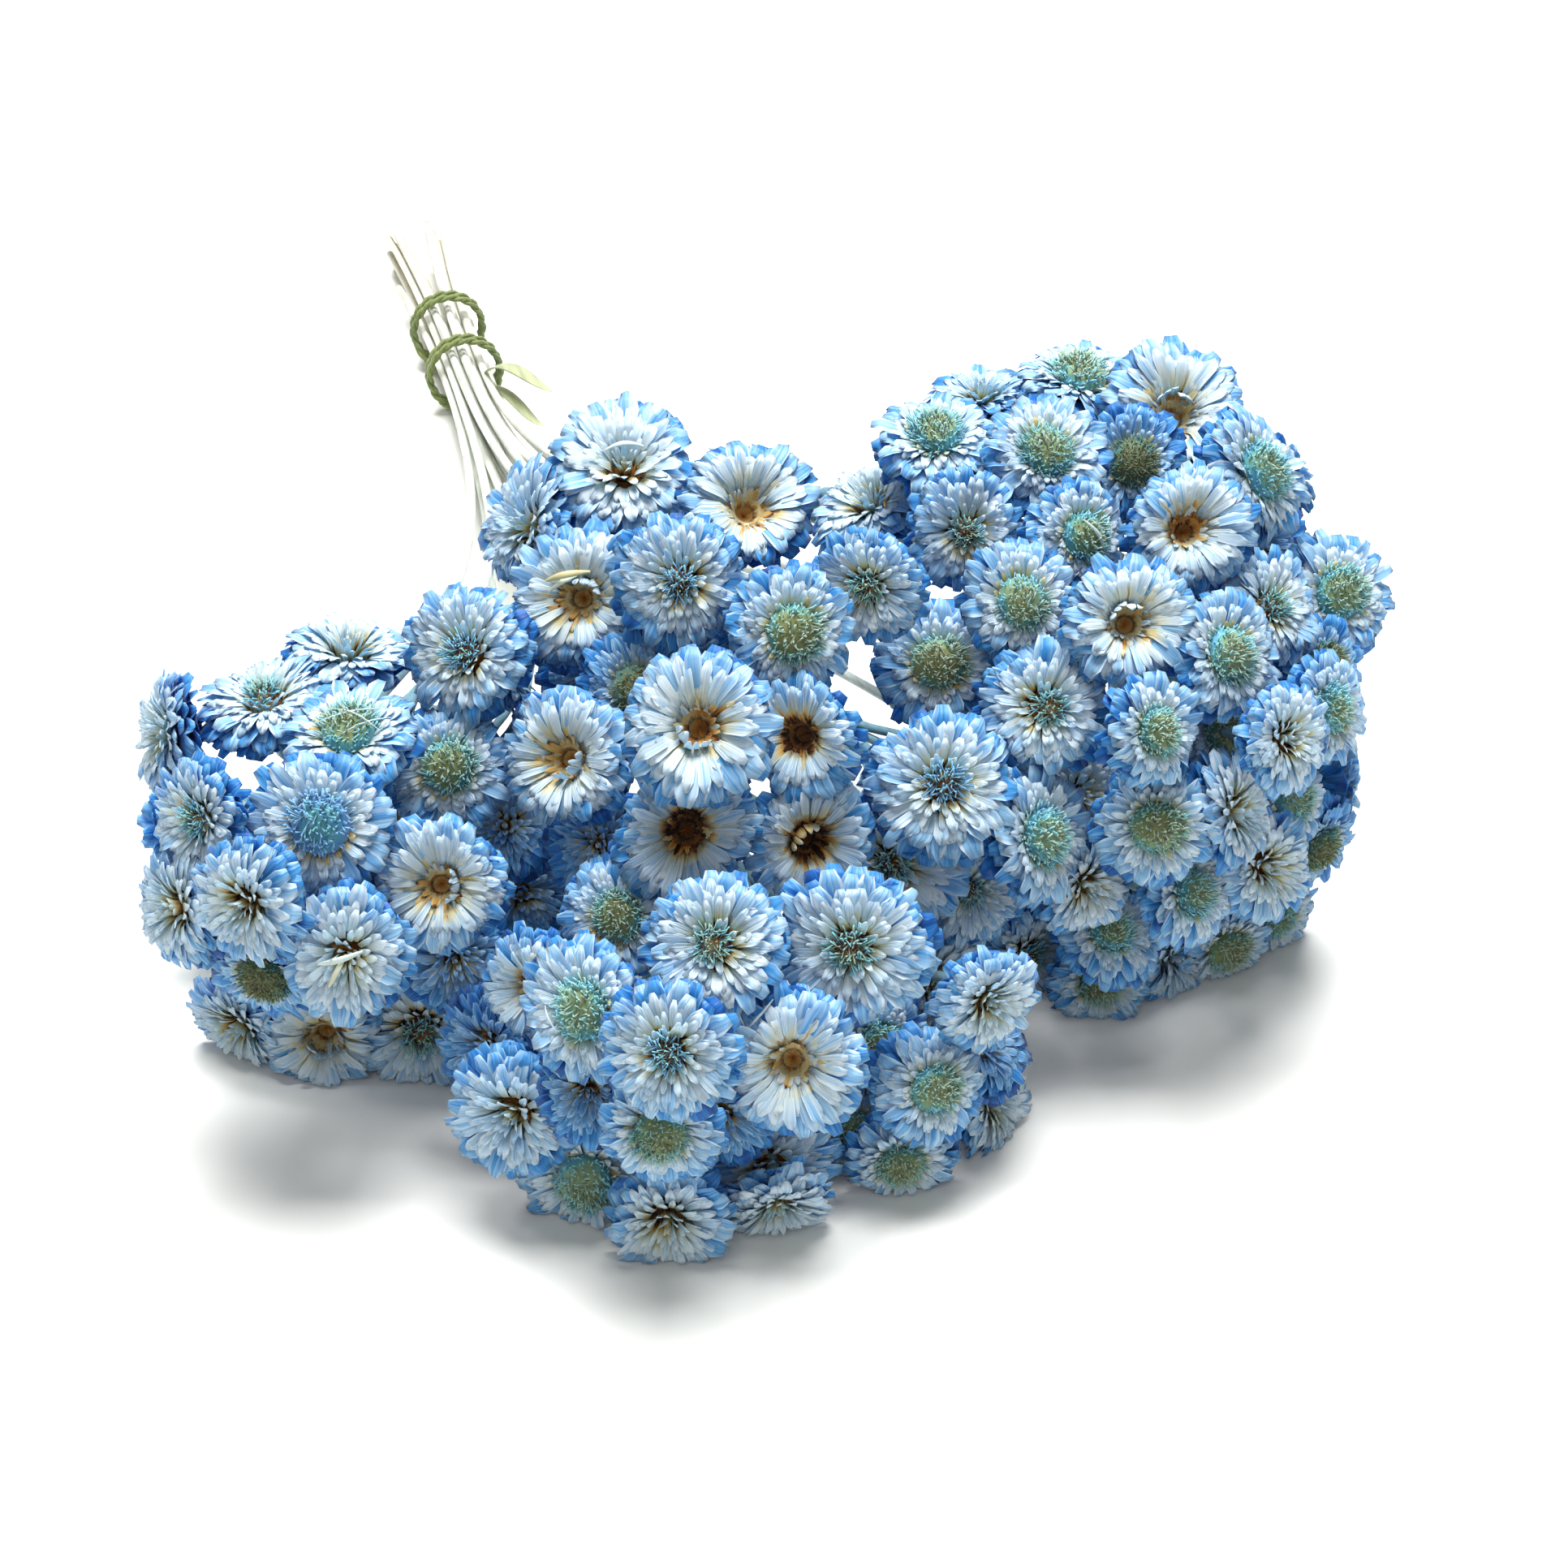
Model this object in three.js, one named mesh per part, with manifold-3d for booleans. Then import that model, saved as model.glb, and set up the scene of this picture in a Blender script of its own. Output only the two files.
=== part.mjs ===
// A small tied bunch of dried everlasting daisies, dyed blue, lying on its side with the flowers forward.
// Eighteen stems each end in a spray of flower heads. Every spray is one dyed crown, its heads and
// their thin stalks grown together, on one pale stem. A green twine, wound twice in each of two bands,
// holds the stems near their cut ends, which part in two like a V.
import * as THREE from 'three';
import { mergeVertices } from 'three/addons/utils/BufferGeometryUtils.js';
import Module from 'manifold-3d';

const wasm = await Module();
wasm.setup();

// Driving dimensions, in millimetres
const headSize = { least: 10.8, most: 15 };
const stem = { diameter: 1.4, gap: 0.35, sides: 5, steps: 8 };
const dyed = { length: 34, diameter: 1.8, sides: 5, steps: 1 };
const stalk = { diameter: 1.3, sides: 3, steps: 3, rootFrom: 0.25, rootTo: 0.95, bend: 0.36 };
const twine = {
  diameter: 1.3,
  turns: 4,
  pitch: 1.7,
  apart: 17.4,
  lastBand: 3.5,
  rows: 2.35,
  sides: 4,
  stepsPerTurn: 14,
};
const clearance = 0.32;
const flatSpot = 0.45;

// The bunch is laid out as it is seen: X to the right, Y away from the viewer and Z up, from the
// point on the table under the eye. The heads' places are read off a square view of it, in pixels.
const sight = { focal: 3400, middle: 966, eyeHeight: 207, tilt: 35 };
// Turn and shift that bring the stems along +Y and the middle of the bunch over the origin
const placing = { turn: -16, x: -73.9, y: -326.8 };

// The bundle's line: where the longest stems are cut, where they leave the twine, and the neck
// that all sprays lean back to
const bundle = {
  cut: new THREE.Vector3(-66, 458.5, 5.15),
  held: new THREE.Vector3(-50.6, 399, 6.35),
  neck: new THREE.Vector3(-33, 350, 13),
};

// Rounded masses that the crowns grow to, as centre and half-sizes
const masses = {
  left: { centre: [-50, 250, 27], half: [24, 30, 21] },
  inner: { centre: [-32, 262, 28], half: [20, 26, 24] },
  middle: { centre: [-6, 268, 30], half: [34, 40, 31] },
  front: { centre: [-12, 244, 20], half: [27, 40, 22] },
  frontRight: { centre: [16, 240, 14], half: [14, 20, 12] },
  between: { centre: [18, 262, 24], half: [18, 24, 20] },
  right: { centre: [38, 280, 27], half: [33, 42, 34] },
};

// A flower head as it is seen: where its middle is in the view and how wide it looks there, in
// pixels, its kind, how far it looks to the right and up, and how far it sits behind its mass's
// surface, in millimetres. A negative width is a head that looks away from the viewer.
const head = (across, down, wide, kind, right, up, behind = 0) => (
  { across, down, wide, kind, right, up, behind });
const low = (...reading) => ({ ...head(...reading), low: true });

const sprays = [
  { name: 'left_outer', mass: 'left', heads: [
    head(200, 900, 140, 'ragged', -0.85, 0.1),
    head(325, 860, 150, 'ragged', -0.1, 0.75),
    head(243, 1010, 138, 'ragged', -0.55, -0.15),
    head(215, 1120, 128, 'ragged', -0.7, -0.1),
    head(300, 1115, 138, 'ragged', -0.35, -0.3),
    head(325, 1200, 90, 'disc', -0.2, -0.6, 5),
  ] },
  { name: 'left_top', mass: 'left', heads: [
    head(428, 800, 150, 'ragged', 0.1, 0.85),
    head(430, 905, 150, 'disc', 0.05, 0.65, 2),
    head(395, 1015, 160, 'disc', 0.12, 0),
    head(485, 1010, 125, 'disc', 0.3, 0.2, 10),
  ] },
  { name: 'left_low', mass: 'left', heads: [
    head(540, 1092, 147, 'funnel', 0, -0.05),
    head(422, 1180, 150, 'ragged', -0.05, -0.3),
    head(400, 1100, 130, 'disc', 0, 0, 9),
    head(560, 1180, 135, 'ragged', 0.1, -0.3, 9),
    low(295, 1268, 128, 'ragged', -0.45, -0.55),
    low(398, 1285, 140, 'funnel', 0, -0.45),
    low(518, 1272, 155, 'ragged', 0.05, -0.3),
  ] },
  { name: 'inner_left', mass: 'inner', heads: [
    head(575, 805, 155, 'ragged', -0.25, 0.1),
    head(553, 945, 140, 'disc', 0.05, 0.1),
    head(690, 935, 155, 'funnel', -0.35, 0),
    head(640, 1100, 130, 'ragged', 0.2, 0, 9),
    head(622, 1018, 125, 'ragged', 0, 0, 12),
  ] },
  { name: 'middle_top', mass: 'middle', heads: [
    head(770, 575, 160, 'ragged', 0, 0.45),
    head(645, 645, 150, 'ragged', -0.75, 0.25),
    head(713, 735, 158, 'ragged', -0.1, 0),
    head(840, 715, 150, 'ragged', 0.1, -0.05, 3),
    head(735, 830, 130, 'ragged', 0, -0.3, 8),
  ] },
  { name: 'middle_right', mass: 'middle', heads: [
    head(925, 620, 150, 'funnel', 0.25, 0.35),
    head(975, 780, 145, 'disc', 0.2, -0.1),
    head(1070, 725, 135, 'ragged', -0.1, -0.3),
    head(785, 850, 130, 'disc', 0.1, 0, 10),
    head(985, 910, 137, 'funnel', -0.2, -0.2),
    head(850, 815, 125, 'ragged', 0, 0, 9),
  ] },
  { name: 'middle_front', mass: 'middle', heads: [
    head(860, 895, 165, 'funnel', 0, 0.05),
    head(845, 1028, 158, 'funnel', 0, -0.15),
    head(1000, 1040, 145, 'funnel', 0.3, -0.25),
    head(738, 1040, 125, 'ragged', 0, 0, 12),
  ] },
  { name: 'front_left', mass: 'front', heads: [
    head(760, 1130, 132, 'disc', -0.1, 0, 8),
    head(718, 1248, 155, 'disc', -0.3, 0.05),
    head(655, 1220, 130, 'funnel', -0.45, -0.3, 7),
    head(630, 1375, 155, 'ragged', -0.35, -0.3),
    head(595, 1290, 130, 'ragged', -0.5, -0.2, 9),
    head(725, 1345, 120, 'ragged', 0, -0.2, 9),
  ] },
  { name: 'front_middle', mass: 'front', heads: [
    head(1050, 1168, 170, 'ragged', 0.05, -0.1),
    head(880, 1165, 165, 'ragged', 0.02, 0.1),
    head(825, 1300, 160, 'ragged', -0.1, -0.15),
    head(977, 1315, 160, 'funnel', 0, -0.2),
    head(1152, 1210, 138, 'ragged', 0.5, -0.25, 2),
    head(1000, 1220, 120, 'ragged', 0, 0, 9),
  ] },
  { name: 'front_low', mass: 'front', heads: [
    low(720, 1450, 150, 'disc', -0.1, -0.4),
    low(823, 1507, 150, 'ragged', 0, -0.5),
    head(815, 1392, 130, 'disc', 0, -0.4, 6),
    low(950, 1442, 145, 'ragged', 0.1, -0.45),
    low(960, 1490, 110, 'ragged', 0.1, -0.8),
    head(890, 1372, 120, 'ragged', 0, -0.2, 9),
  ] },
  { name: 'front_right', mass: 'frontRight', heads: [
    head(1080, 1282, 115, 'disc', 0.3, -0.3, 3),
    low(1050, 1395, 120, 'disc', 0.35, -0.3),
    head(1148, 1342, 128, 'disc', 0.35, -0.05),
    low(1225, 1357, 125, 'ragged', 0.75, 0),
    low(1110, 1430, 105, 'disc', 0.2, -0.5),
    head(1215, 1285, 115, 'ragged', 0.5, 0.3, 5),
    head(1220, 1235, 100, 'ragged', 0.4, -0.3, 5),
  ] },
  { name: 'between', mass: 'between', heads: [
    head(1197, 1100, 118, 'ragged', 0.1, -0.3, 3),
    head(1160, 965, 160, 'ragged', 0, 0.15),
    head(1103, 1062, 155, 'ragged', 0.05, -0.1),
    head(1328, 978, 110, 'ragged', 0.2, 0, 8),
  ] },
  { name: 'right_top', mass: 'right', heads: [
    head(1070, 620, 135, 'ragged', -0.45, 0.6),
    head(1158, 540, 145, 'disc', -0.1, 0.68),
    head(1292, 560, 140, 'disc', 0, 0.4),
    head(1190, 655, 133, 'ragged', 0, -0.15),
  ] },
  { name: 'right_back', mass: 'right', heads: [
    head(1210, 485, 120, 'ragged', -0.1, 0.85),
    head(1332, 468, 138, 'disc', 0.1, 0.78),
    head(1447, 503, 153, 'funnel', 0, 0.35),
    head(1552, 585, 148, 'disc', 0.6, 0.2),
    head(1330, 662, 130, 'disc', 0.55, 0),
    head(1463, 652, 145, 'funnel', 0.05, 0.05),
    head(1395, 572, 120, 'disc', 0, 0, 9),
    head(1478, 728, 120, 'ragged', 0.1, 0, 9),
  ] },
  { name: 'right_middle', mass: 'right', heads: [
    head(1258, 745, 133, 'disc', 0, 0.05),
    head(1393, 765, 152, 'ragged', 0.1, 0.1),
    head(1153, 818, 145, 'disc', 0, 0.05),
    head(1288, 872, 150, 'ragged', 0, 0.05),
    head(1422, 900, 135, 'disc', 0.55, 0),
    head(1510, 805, 138, 'disc', 0.5, 0.1),
    head(1200, 895, 120, 'ragged', 0, 0, 10),
  ] },
  { name: 'right_outer', mass: 'right', heads: [
    head(1568, 745, 130, 'ragged', 0.5, 0.2, 3),
    head(1645, 735, 135, 'disc', 0.3, 0.15),
    head(1630, 825, 115, 'disc', 0.55, 0, 3),
    head(1637, 872, 100, 'disc', 0.7, -0.1),
    head(1508, 900, 120, 'disc', 0.4, -0.05, 3),
    head(1588, 910, 118, 'ragged', 0.5, 0),
    head(1640, 965, -115, 'ragged', 0.9, 0.1),
    head(1590, 985, 110, 'disc', 0.6, 0),
    head(1622, 1040, 90, 'disc', 0.6, -0.5),
    head(1548, 668, 120, 'ragged', 0.3, 0, 9),
  ] },
  { name: 'right_low', mass: 'right', heads: [
    head(1525, 1000, 140, 'ragged', 0.8, 0),
    head(1423, 1018, 135, 'disc', 0.1, -0.2),
    head(1465, 1098, 125, 'disc', 0.6, 0),
    head(1560, 1068, 118, 'ragged', 0.45, -0.2),
    low(1570, 1130, 105, 'disc', 0.4, -0.45),
    low(1450, 1180, 115, 'ragged', 0.6, -0.2),
    low(1510, 1168, 90, 'disc', 0.4, -0.5),
    head(1394, 1088, 110, 'ragged', 0.2, -0.2, 10),
  ] },
  { name: 'right_under', mass: 'right', heads: [
    head(1368, 1148, 112, 'disc', 0.2, 0.4),
    low(1358, 1210, 110, 'disc', 0.1, -0.4),
    head(1342, 1090, 118, 'ragged', 0.4, -0.3),
    low(1268, 1180, 130, 'ragged', 0.4, -0.35),
    head(1282, 1030, 150, 'disc', 0.68, -0.05),
  ] },
];

// Seeded draws, so that every build is alike
function seeded(seed) {
  let state = seed;
  return () => {
    state = (state * 16807) % 2147483647;
    return state / 2147483647;
  };
}

// The eye and its directions
const tilt = THREE.MathUtils.degToRad(sight.tilt);
const eye = new THREE.Vector3(0, 0, sight.eyeHeight);
const eyeRight = new THREE.Vector3(1, 0, 0);
const eyeForward = new THREE.Vector3(0, Math.cos(tilt), -Math.sin(tilt));
const eyeUp = new THREE.Vector3(0, Math.sin(tilt), Math.cos(tilt));

// The line of sight through a place in the view, one millimetre deep
function sightLine(across, down) {
  return eyeForward.clone()
    .addScaledVector(eyeRight, (across - sight.middle) / sight.focal)
    .addScaledVector(eyeUp, (sight.middle - down) / sight.focal);
}

// Where a point is in the view, with its depth
function seenAt(point) {
  const from = point.clone().sub(eye);
  const depth = from.dot(eyeForward);
  return {
    depth,
    across: sight.middle + sight.focal * from.dot(eyeRight) / depth,
    down: sight.middle - sight.focal * from.dot(eyeUp) / depth,
  };
}

// How deep a line of sight first meets a mass, or passes closest to it
function depthOnMass(line, mass) {
  const half = new THREE.Vector3(...mass.half);
  const from = eye.clone().sub(new THREE.Vector3(...mass.centre)).divide(half);
  const along = line.clone().divide(half);
  const a = along.lengthSq();
  const b = from.dot(along);
  const inside = Math.max(b * b - a * (from.lengthSq() - 1), 0);
  return (-b - Math.sqrt(inside)) / a;
}

function facing(reading) {
  const sideways = reading.right ** 2 + reading.up ** 2;
  const toEye = Math.sign(reading.wide) * Math.sqrt(Math.max(1 - sideways, 0));
  return new THREE.Vector3()
    .addScaledVector(eyeRight, reading.right)
    .addScaledVector(eyeUp, reading.up)
    .addScaledVector(eyeForward, -toEye)
    .normalize();
}

// A head's outline from the stalk up, as shares of its radius: blue bracts below, white petals above
const profile = {
  base: -0.72,
  bractTip: [1, -0.12],
  bractNotch: [0.78, 0.02],
  groove: [0.58, 0.06],
  petalTip: [0.78, 0.32],
  petalNotch: [0.55, 0.24],
  heart: { disc: [0.42, 0.3], ragged: [0.34, 0.24], funnel: [0.34, 0.2] },
  middle: { disc: 0.54, ragged: 0.4, funnel: -0.28 },
};

// Two directions across an axis, turned by an angle
function across(axis, turn) {
  const aside = Math.abs(axis.z) < 0.9 ? new THREE.Vector3(0, 0, 1) : new THREE.Vector3(1, 0, 0);
  const first = new THREE.Vector3().crossVectors(axis, aside).normalize().applyAxisAngle(axis, turn);
  return [first, new THREE.Vector3().crossVectors(axis, first)];
}

// The rings of points of one head about its middle, from the bracts to the heart
function headRings(item, grow = 0) {
  const draw = seeded(item.seed);
  const [first, second] = across(item.axis, draw() * Math.PI);
  const radius = item.size / 2 + grow;
  const ring = (count, shape, offset = 0) => Array.from({ length: count }, (_, k) => {
    const angle = (k + offset) / count * 2 * Math.PI;
    const [out, rise] = shape(k);
    const ragged = 1 + (draw() - 0.5) * 0.1;
    return {
      angle,
      point: new THREE.Vector3()
        .addScaledVector(first, Math.cos(angle) * out * radius * ragged)
        .addScaledVector(second, Math.sin(angle) * out * radius * ragged)
        .addScaledVector(item.axis, rise * radius),
    };
  });
  const n = item.petals;
  return [
    ring(2 * n, (k) => (k % 2 ? profile.bractNotch : profile.bractTip)),
    ring(n, () => profile.groove),
    ring(2 * n, (k) => (k % 2 ? profile.petalTip : profile.petalNotch)),
    ring(n, () => profile.heart[item.kind]),
  ];
}

// Triangles between two rings, the lower first, that both run round by angle
function stitch(faces, lower, upper) {
  let i = 0;
  let j = 0;
  while (i < lower.length || j < upper.length) {
    const nextLower = i < lower.length ? (i + 1) / lower.length : Infinity;
    const nextUpper = j < upper.length ? (j + 1) / upper.length : Infinity;
    const a = lower[i % lower.length];
    const b = upper[j % upper.length];
    if (nextLower <= nextUpper) {
      i += 1;
      faces.push(a, lower[i % lower.length], b);
    } else {
      j += 1;
      faces.push(a, upper[j % upper.length], b);
    }
  }
}

// The rings of a thin stalk along a curve. The last ring lines up with the head's own rings.
function stalkRings(curve, item, radius) {
  const [first] = across(item.axis, seeded(item.seed)() * Math.PI);
  const rings = [];
  let side = first;
  for (let k = stalk.steps; k >= 0; k -= 1) {
    const tangent = curve.getTangent(k / stalk.steps);
    side = side.clone().addScaledVector(tangent, -side.dot(tangent)).normalize();
    const other = new THREE.Vector3().crossVectors(tangent, side);
    const centre = curve.getPoint(k / stalk.steps);
    rings.unshift(Array.from({ length: stalk.sides }, (_, s) => {
      const angle = s / stalk.sides * 2 * Math.PI;
      return centre.clone()
        .addScaledVector(side, Math.cos(angle) * radius)
        .addScaledVector(other, Math.sin(angle) * radius);
    }));
  }
  return rings;
}

// One closed solid from points and triangles
function closedSolid(points, faces) {
  const vertProperties = new Float32Array(points.flatMap((p) => [p.x, p.y, p.z]));
  return new wasm.Manifold(new wasm.Mesh({ numProp: 3, vertProperties, triVerts: new Uint32Array(faces) }));
}

// A narrow leaf from a stem's middle to its tip, as a thin blade with four corners
function leafSolid(leaf) {
  const way = leaf.tip.clone().sub(leaf.root);
  const side = new THREE.Vector3().crossVectors(way, new THREE.Vector3(0, 0, 1)).normalize();
  const up = new THREE.Vector3().crossVectors(side, way).normalize();
  const points = [];
  const faces = [];
  const rings = leafWidths.map((share, k) => {
    const t = k / (leafWidths.length - 1);
    const arch = leaf.arch * 4 * t * (1 - t);
    const middle = leaf.root.clone().addScaledVector(way, t).addScaledVector(up, arch);
    const half = share * leaf.wide / 2;
    return [[half, 0], [0, -leafThick / 2], [-half, 0], [0, leafThick / 2]].map(([over, rise]) => (
      points.push(middle.clone().addScaledVector(side, over).addScaledVector(up, rise)) - 1));
  });
  rings.slice(1).forEach((ring, k) => stitch(faces, rings[k], ring));
  const [first, last] = [rings[0], rings[rings.length - 1]];
  faces.push(first[2], first[1], first[0], first[3], first[2], first[0]);
  faces.push(last[0], last[1], last[2], last[0], last[2], last[3]);
  return closedSolid(points, faces);
}

// A head on its stalk, or the head alone where there is no curve
function headSolid(item, curve, grow = 0) {
  const points = [];
  const faces = [];
  const add = (list) => list.map((p) => points.push(p) - 1);
  const rings = headRings(item, grow).map((ring) => add(ring.map((v) => v.point.clone().add(item.centre))));
  if (curve) {
    const tube = stalkRings(curve, item, stalk.diameter / 2).map(add);
    faces.push(tube[0][0], tube[0][2], tube[0][1]);
    for (let k = 1; k < tube.length; k += 1) stitch(faces, tube[k - 1], tube[k]);
    stitch(faces, tube[tube.length - 1], rings[0]);
  } else {
    const [base] = add([item.centre.clone().addScaledVector(item.axis, profile.base * item.size / 2 - grow)]);
    rings[0].forEach((v, k) => faces.push(base, rings[0][(k + 1) % rings[0].length], v));
  }
  for (let k = 1; k < rings.length; k += 1) stitch(faces, rings[k - 1], rings[k]);
  const rise = profile.middle[item.kind] * item.size / 2 + grow;
  const [top] = add([item.centre.clone().addScaledVector(item.axis, rise)]);
  const last = rings[rings.length - 1];
  last.forEach((v, k) => faces.push(v, last[(k + 1) % last.length], top));
  return closedSolid(points, faces);
}

// A tube with flat ends along a curve
function tube(curve, radius, sides, steps) {
  const section = new THREE.Shape(Array.from({ length: sides }, (_, k) => {
    const angle = k / sides * 2 * Math.PI;
    return new THREE.Vector2(Math.cos(angle) * radius, Math.sin(angle) * radius);
  }));
  return new THREE.ExtrudeGeometry(section, { steps, extrudePath: curve, curveSegments: 1 });
}

function solidOf(geometry) {
  const bare = new THREE.BufferGeometry().setAttribute('position', geometry.getAttribute('position'));
  if (geometry.index) bare.setIndex(geometry.index);
  const merged = mergeVertices(bare, 1e-4);
  return new wasm.Manifold(new wasm.Mesh({
    numProp: 3,
    vertProperties: merged.attributes.position.array,
    triVerts: new Uint32Array(merged.index.array),
  }));
}

function geometryOf(solid) {
  const mesh = solid.getMesh();
  const geometry = new THREE.BufferGeometry();
  geometry.setAttribute('position', new THREE.BufferAttribute(new Float32Array(mesh.vertProperties), 3));
  geometry.setIndex(new THREE.BufferAttribute(new Uint32Array(mesh.triVerts), 1));
  geometry.computeVertexNormals();
  return geometry;
}

const joined = (solids) => wasm.Manifold.union(solids);

// The seen heads, each on its line of sight
const heads = sprays.flatMap((spray) => spray.heads.map((reading) => ({ ...reading, spray, seen: true })));
heads.forEach((item, k) => {
  item.seed = 101 + k * 37;
  item.petals = item.behind > 4 ? 5 : 6;
  item.line = sightLine(item.across, item.down);
  item.axis = facing(item);
  item.depth = depthOnMass(item.line, masses[item.spray.mass]) + item.behind;
  place(item);
  if (item.low) {
    const reach = -Math.min(...headRings(item).flat().map((v) => v.point.z));
    item.depth = (sight.eyeHeight - reach + flatSpot) / -item.line.z;
    place(item);
  }
});

function place(item) {
  const size = Math.abs(item.wide) * item.depth / sight.focal;
  item.size = THREE.MathUtils.clamp(size, headSize.least, headSize.most);
  item.centre = eye.clone().addScaledVector(item.line, item.depth);
}

// Crowded heads give way to each other along their lines of sight
const crowding = { rounds: 60, spacing: 0.9, apart: 0.96, nearShare: 0.35 };
for (let round = 0; round < crowding.rounds; round += 1) {
  heads.forEach((a, k) => heads.slice(k + 1).forEach((b) => {
    const spacing = a.spray === b.spray ? crowding.spacing : crowding.apart;
    const lack = spacing * (a.size + b.size) / 2 - a.centre.distanceTo(b.centre);
    if (lack <= 0) return;
    const [near, far] = a.depth <= b.depth ? [a, b] : [b, a];
    if (!near.low) near.depth -= lack * crowding.nearShare;
    if (!far.low) far.depth += lack * (1 - crowding.nearShare);
    place(near);
    place(far);
  }));
}

// Each spray's stalks part at a hub behind its heads, on the side of the bunch's neck
const hubAt = { behind: 21, least: 7, inward: 0.35 };
for (const spray of sprays) {
  const own = heads.filter((item) => item.spray === spray);
  const middle = new THREE.Vector3();
  const inward = new THREE.Vector3();
  for (const item of own) {
    middle.addScaledVector(item.centre, 1 / own.length);
    inward.sub(item.axis);
  }
  inward.normalize();
  const back = bundle.neck.clone().sub(middle).normalize();
  const lean = back.add(inward.multiplyScalar(hubAt.inward)).normalize();
  spray.hub = middle.addScaledVector(lean, hubAt.behind);
  spray.hub.z = Math.max(spray.hub.z, hubAt.least);
  const toNeck = bundle.neck.clone().sub(spray.hub).normalize();
  spray.fork = spray.hub.clone().addScaledVector(toNeck, dyed.length);
  spray.line = new THREE.Line3(spray.hub, bundle.neck);
}

// Heads on the far side and underneath, which the view hides: spread evenly over each mass, kept
// clear of the stems and of each other, and joined to the spray with the nearest hub
const hidden = {
  tries: 60,
  spacing: 14.6,
  size: 12.6,
  petals: 5,
  edge: 0.6,
  edgePoints: 8,
  deeper: 6,
  narrowest: 0.55,
  fromStem: 8,
  stalkClear: 4.5,
  alongStalk: [0.35, 0.5, 0.65, 0.8],
  lowest: 7,
};

// Whether a seen head stands before a point: its outline is an ellipse, narrower the more it looks aside
function covered(point) {
  const view = seenAt(point);
  return heads.some((item) => {
    if (!item.seen || item.depth + hidden.deeper > view.depth) return false;
    const sideways = Math.hypot(item.right, item.up);
    const right = view.across - item.across;
    const up = item.down - view.down;
    const leaning = sideways ? (right * item.right + up * item.up) / sideways : right;
    const level = sideways ? (up * item.right - right * item.up) / sideways : up;
    const narrow = Math.max(Math.sqrt(Math.max(1 - sideways ** 2, 0)), hidden.narrowest);
    return Math.hypot(leaning / narrow, level) < Math.abs(item.wide) / 2;
  });
}

function hiddenFromView(centre) {
  const reach = hidden.edge * hidden.size / 2;
  return covered(centre) && Array.from({ length: hidden.edgePoints }, (_, k) => {
    const angle = k / hidden.edgePoints * 2 * Math.PI;
    return centre.clone()
      .addScaledVector(eyeRight, reach * Math.cos(angle))
      .addScaledVector(eyeUp, reach * Math.sin(angle));
  }).every(covered);
}

const goldenAngle = Math.PI * (3 - Math.sqrt(5));
for (const [name, mass] of Object.entries(masses)) {
  for (let k = 0; k < hidden.tries; k += 1) {
    const rise = 1 - 2 * (k + 0.5) / hidden.tries;
    const level = Math.sqrt(1 - rise * rise);
    const out = new THREE.Vector3(level * Math.cos(goldenAngle * k), level * Math.sin(goldenAngle * k), rise);
    const half = new THREE.Vector3(...mass.half);
    const centre = out.clone().multiply(half).add(new THREE.Vector3(...mass.centre));
    const free = heads.every((item) => item.centre.distanceTo(centre) > hidden.spacing);
    const near = sprays.filter((spray) => spray.mass === name)
      .sort((a, b) => a.hub.distanceTo(centre) - b.hub.distanceTo(centre))[0];
    const clearOfStems = sprays.every((spray) => {
      const nearest = new THREE.Vector3();
      const fromLine = (point) => spray.line.closestPointToPoint(point, true, nearest).distanceTo(point);
      const stalkFree = hidden.alongStalk.every((share) => (
        fromLine(near.hub.clone().lerp(centre, share)) > hidden.stalkClear));
      return fromLine(centre) > hidden.fromStem && (spray === near || stalkFree);
    });
    if (!free || !clearOfStems || centre.z < hidden.lowest || !hiddenFromView(centre)) continue;
    heads.push({
      spray: near,
      kind: ['ragged', 'disc', 'funnel'][k % 3],
      seed: 9001 + heads.length * 37,
      petals: hidden.petals,
      axis: out.clone().divide(half).normalize(),
      size: hidden.size,
      centre,
    });
  }
}

// Places for the stems in the bundle: rows packed like a hexagon
const pitch = stem.diameter + stem.gap;
const rowStep = pitch * Math.sqrt(3) / 2;
const slots = [-2, -1, 0, 1, 2].flatMap((row) => {
  const count = 5 - Math.abs(row);
  const middle = (count - 1) / 2;
  return Array.from({ length: count }, (_, k) => ({ side: (k - middle) * pitch, up: row * rowStep }));
});
const along = bundle.held.clone().sub(bundle.cut).normalize();
const bundleSide = new THREE.Vector3(0, 0, 1).cross(along).normalize();
const bundleUp = new THREE.Vector3().crossVectors(along, bundleSide);

// Each stem takes the place nearest to the way it has to go: places are swapped while that helps
const fan = { middleSide: -0.12, middleUp: 0.1, side: 8.6, up: 16 };
const wanted = (spray) => {
  const way = spray.fork.clone().sub(bundle.neck).normalize();
  return [(way.dot(bundleSide) - fan.middleSide) * fan.side, (way.dot(bundleUp) - fan.middleUp) * fan.up];
};
const misfit = (spray, slot) => {
  const [side, up] = wanted(spray);
  return (slot.side - side) ** 2 + (slot.up - up) ** 2;
};
sprays.forEach((spray, k) => { spray.slot = slots[k]; });
for (let swapped = true; swapped;) {
  swapped = false;
  sprays.forEach((a, k) => sprays.slice(k + 1).forEach((b) => {
    if (misfit(a, b.slot) + misfit(b, a.slot) < misfit(a, a.slot) + misfit(b, b.slot) - 1e-9) {
      [a.slot, b.slot] = [b.slot, a.slot];
      swapped = true;
    }
  }));
}

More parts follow.
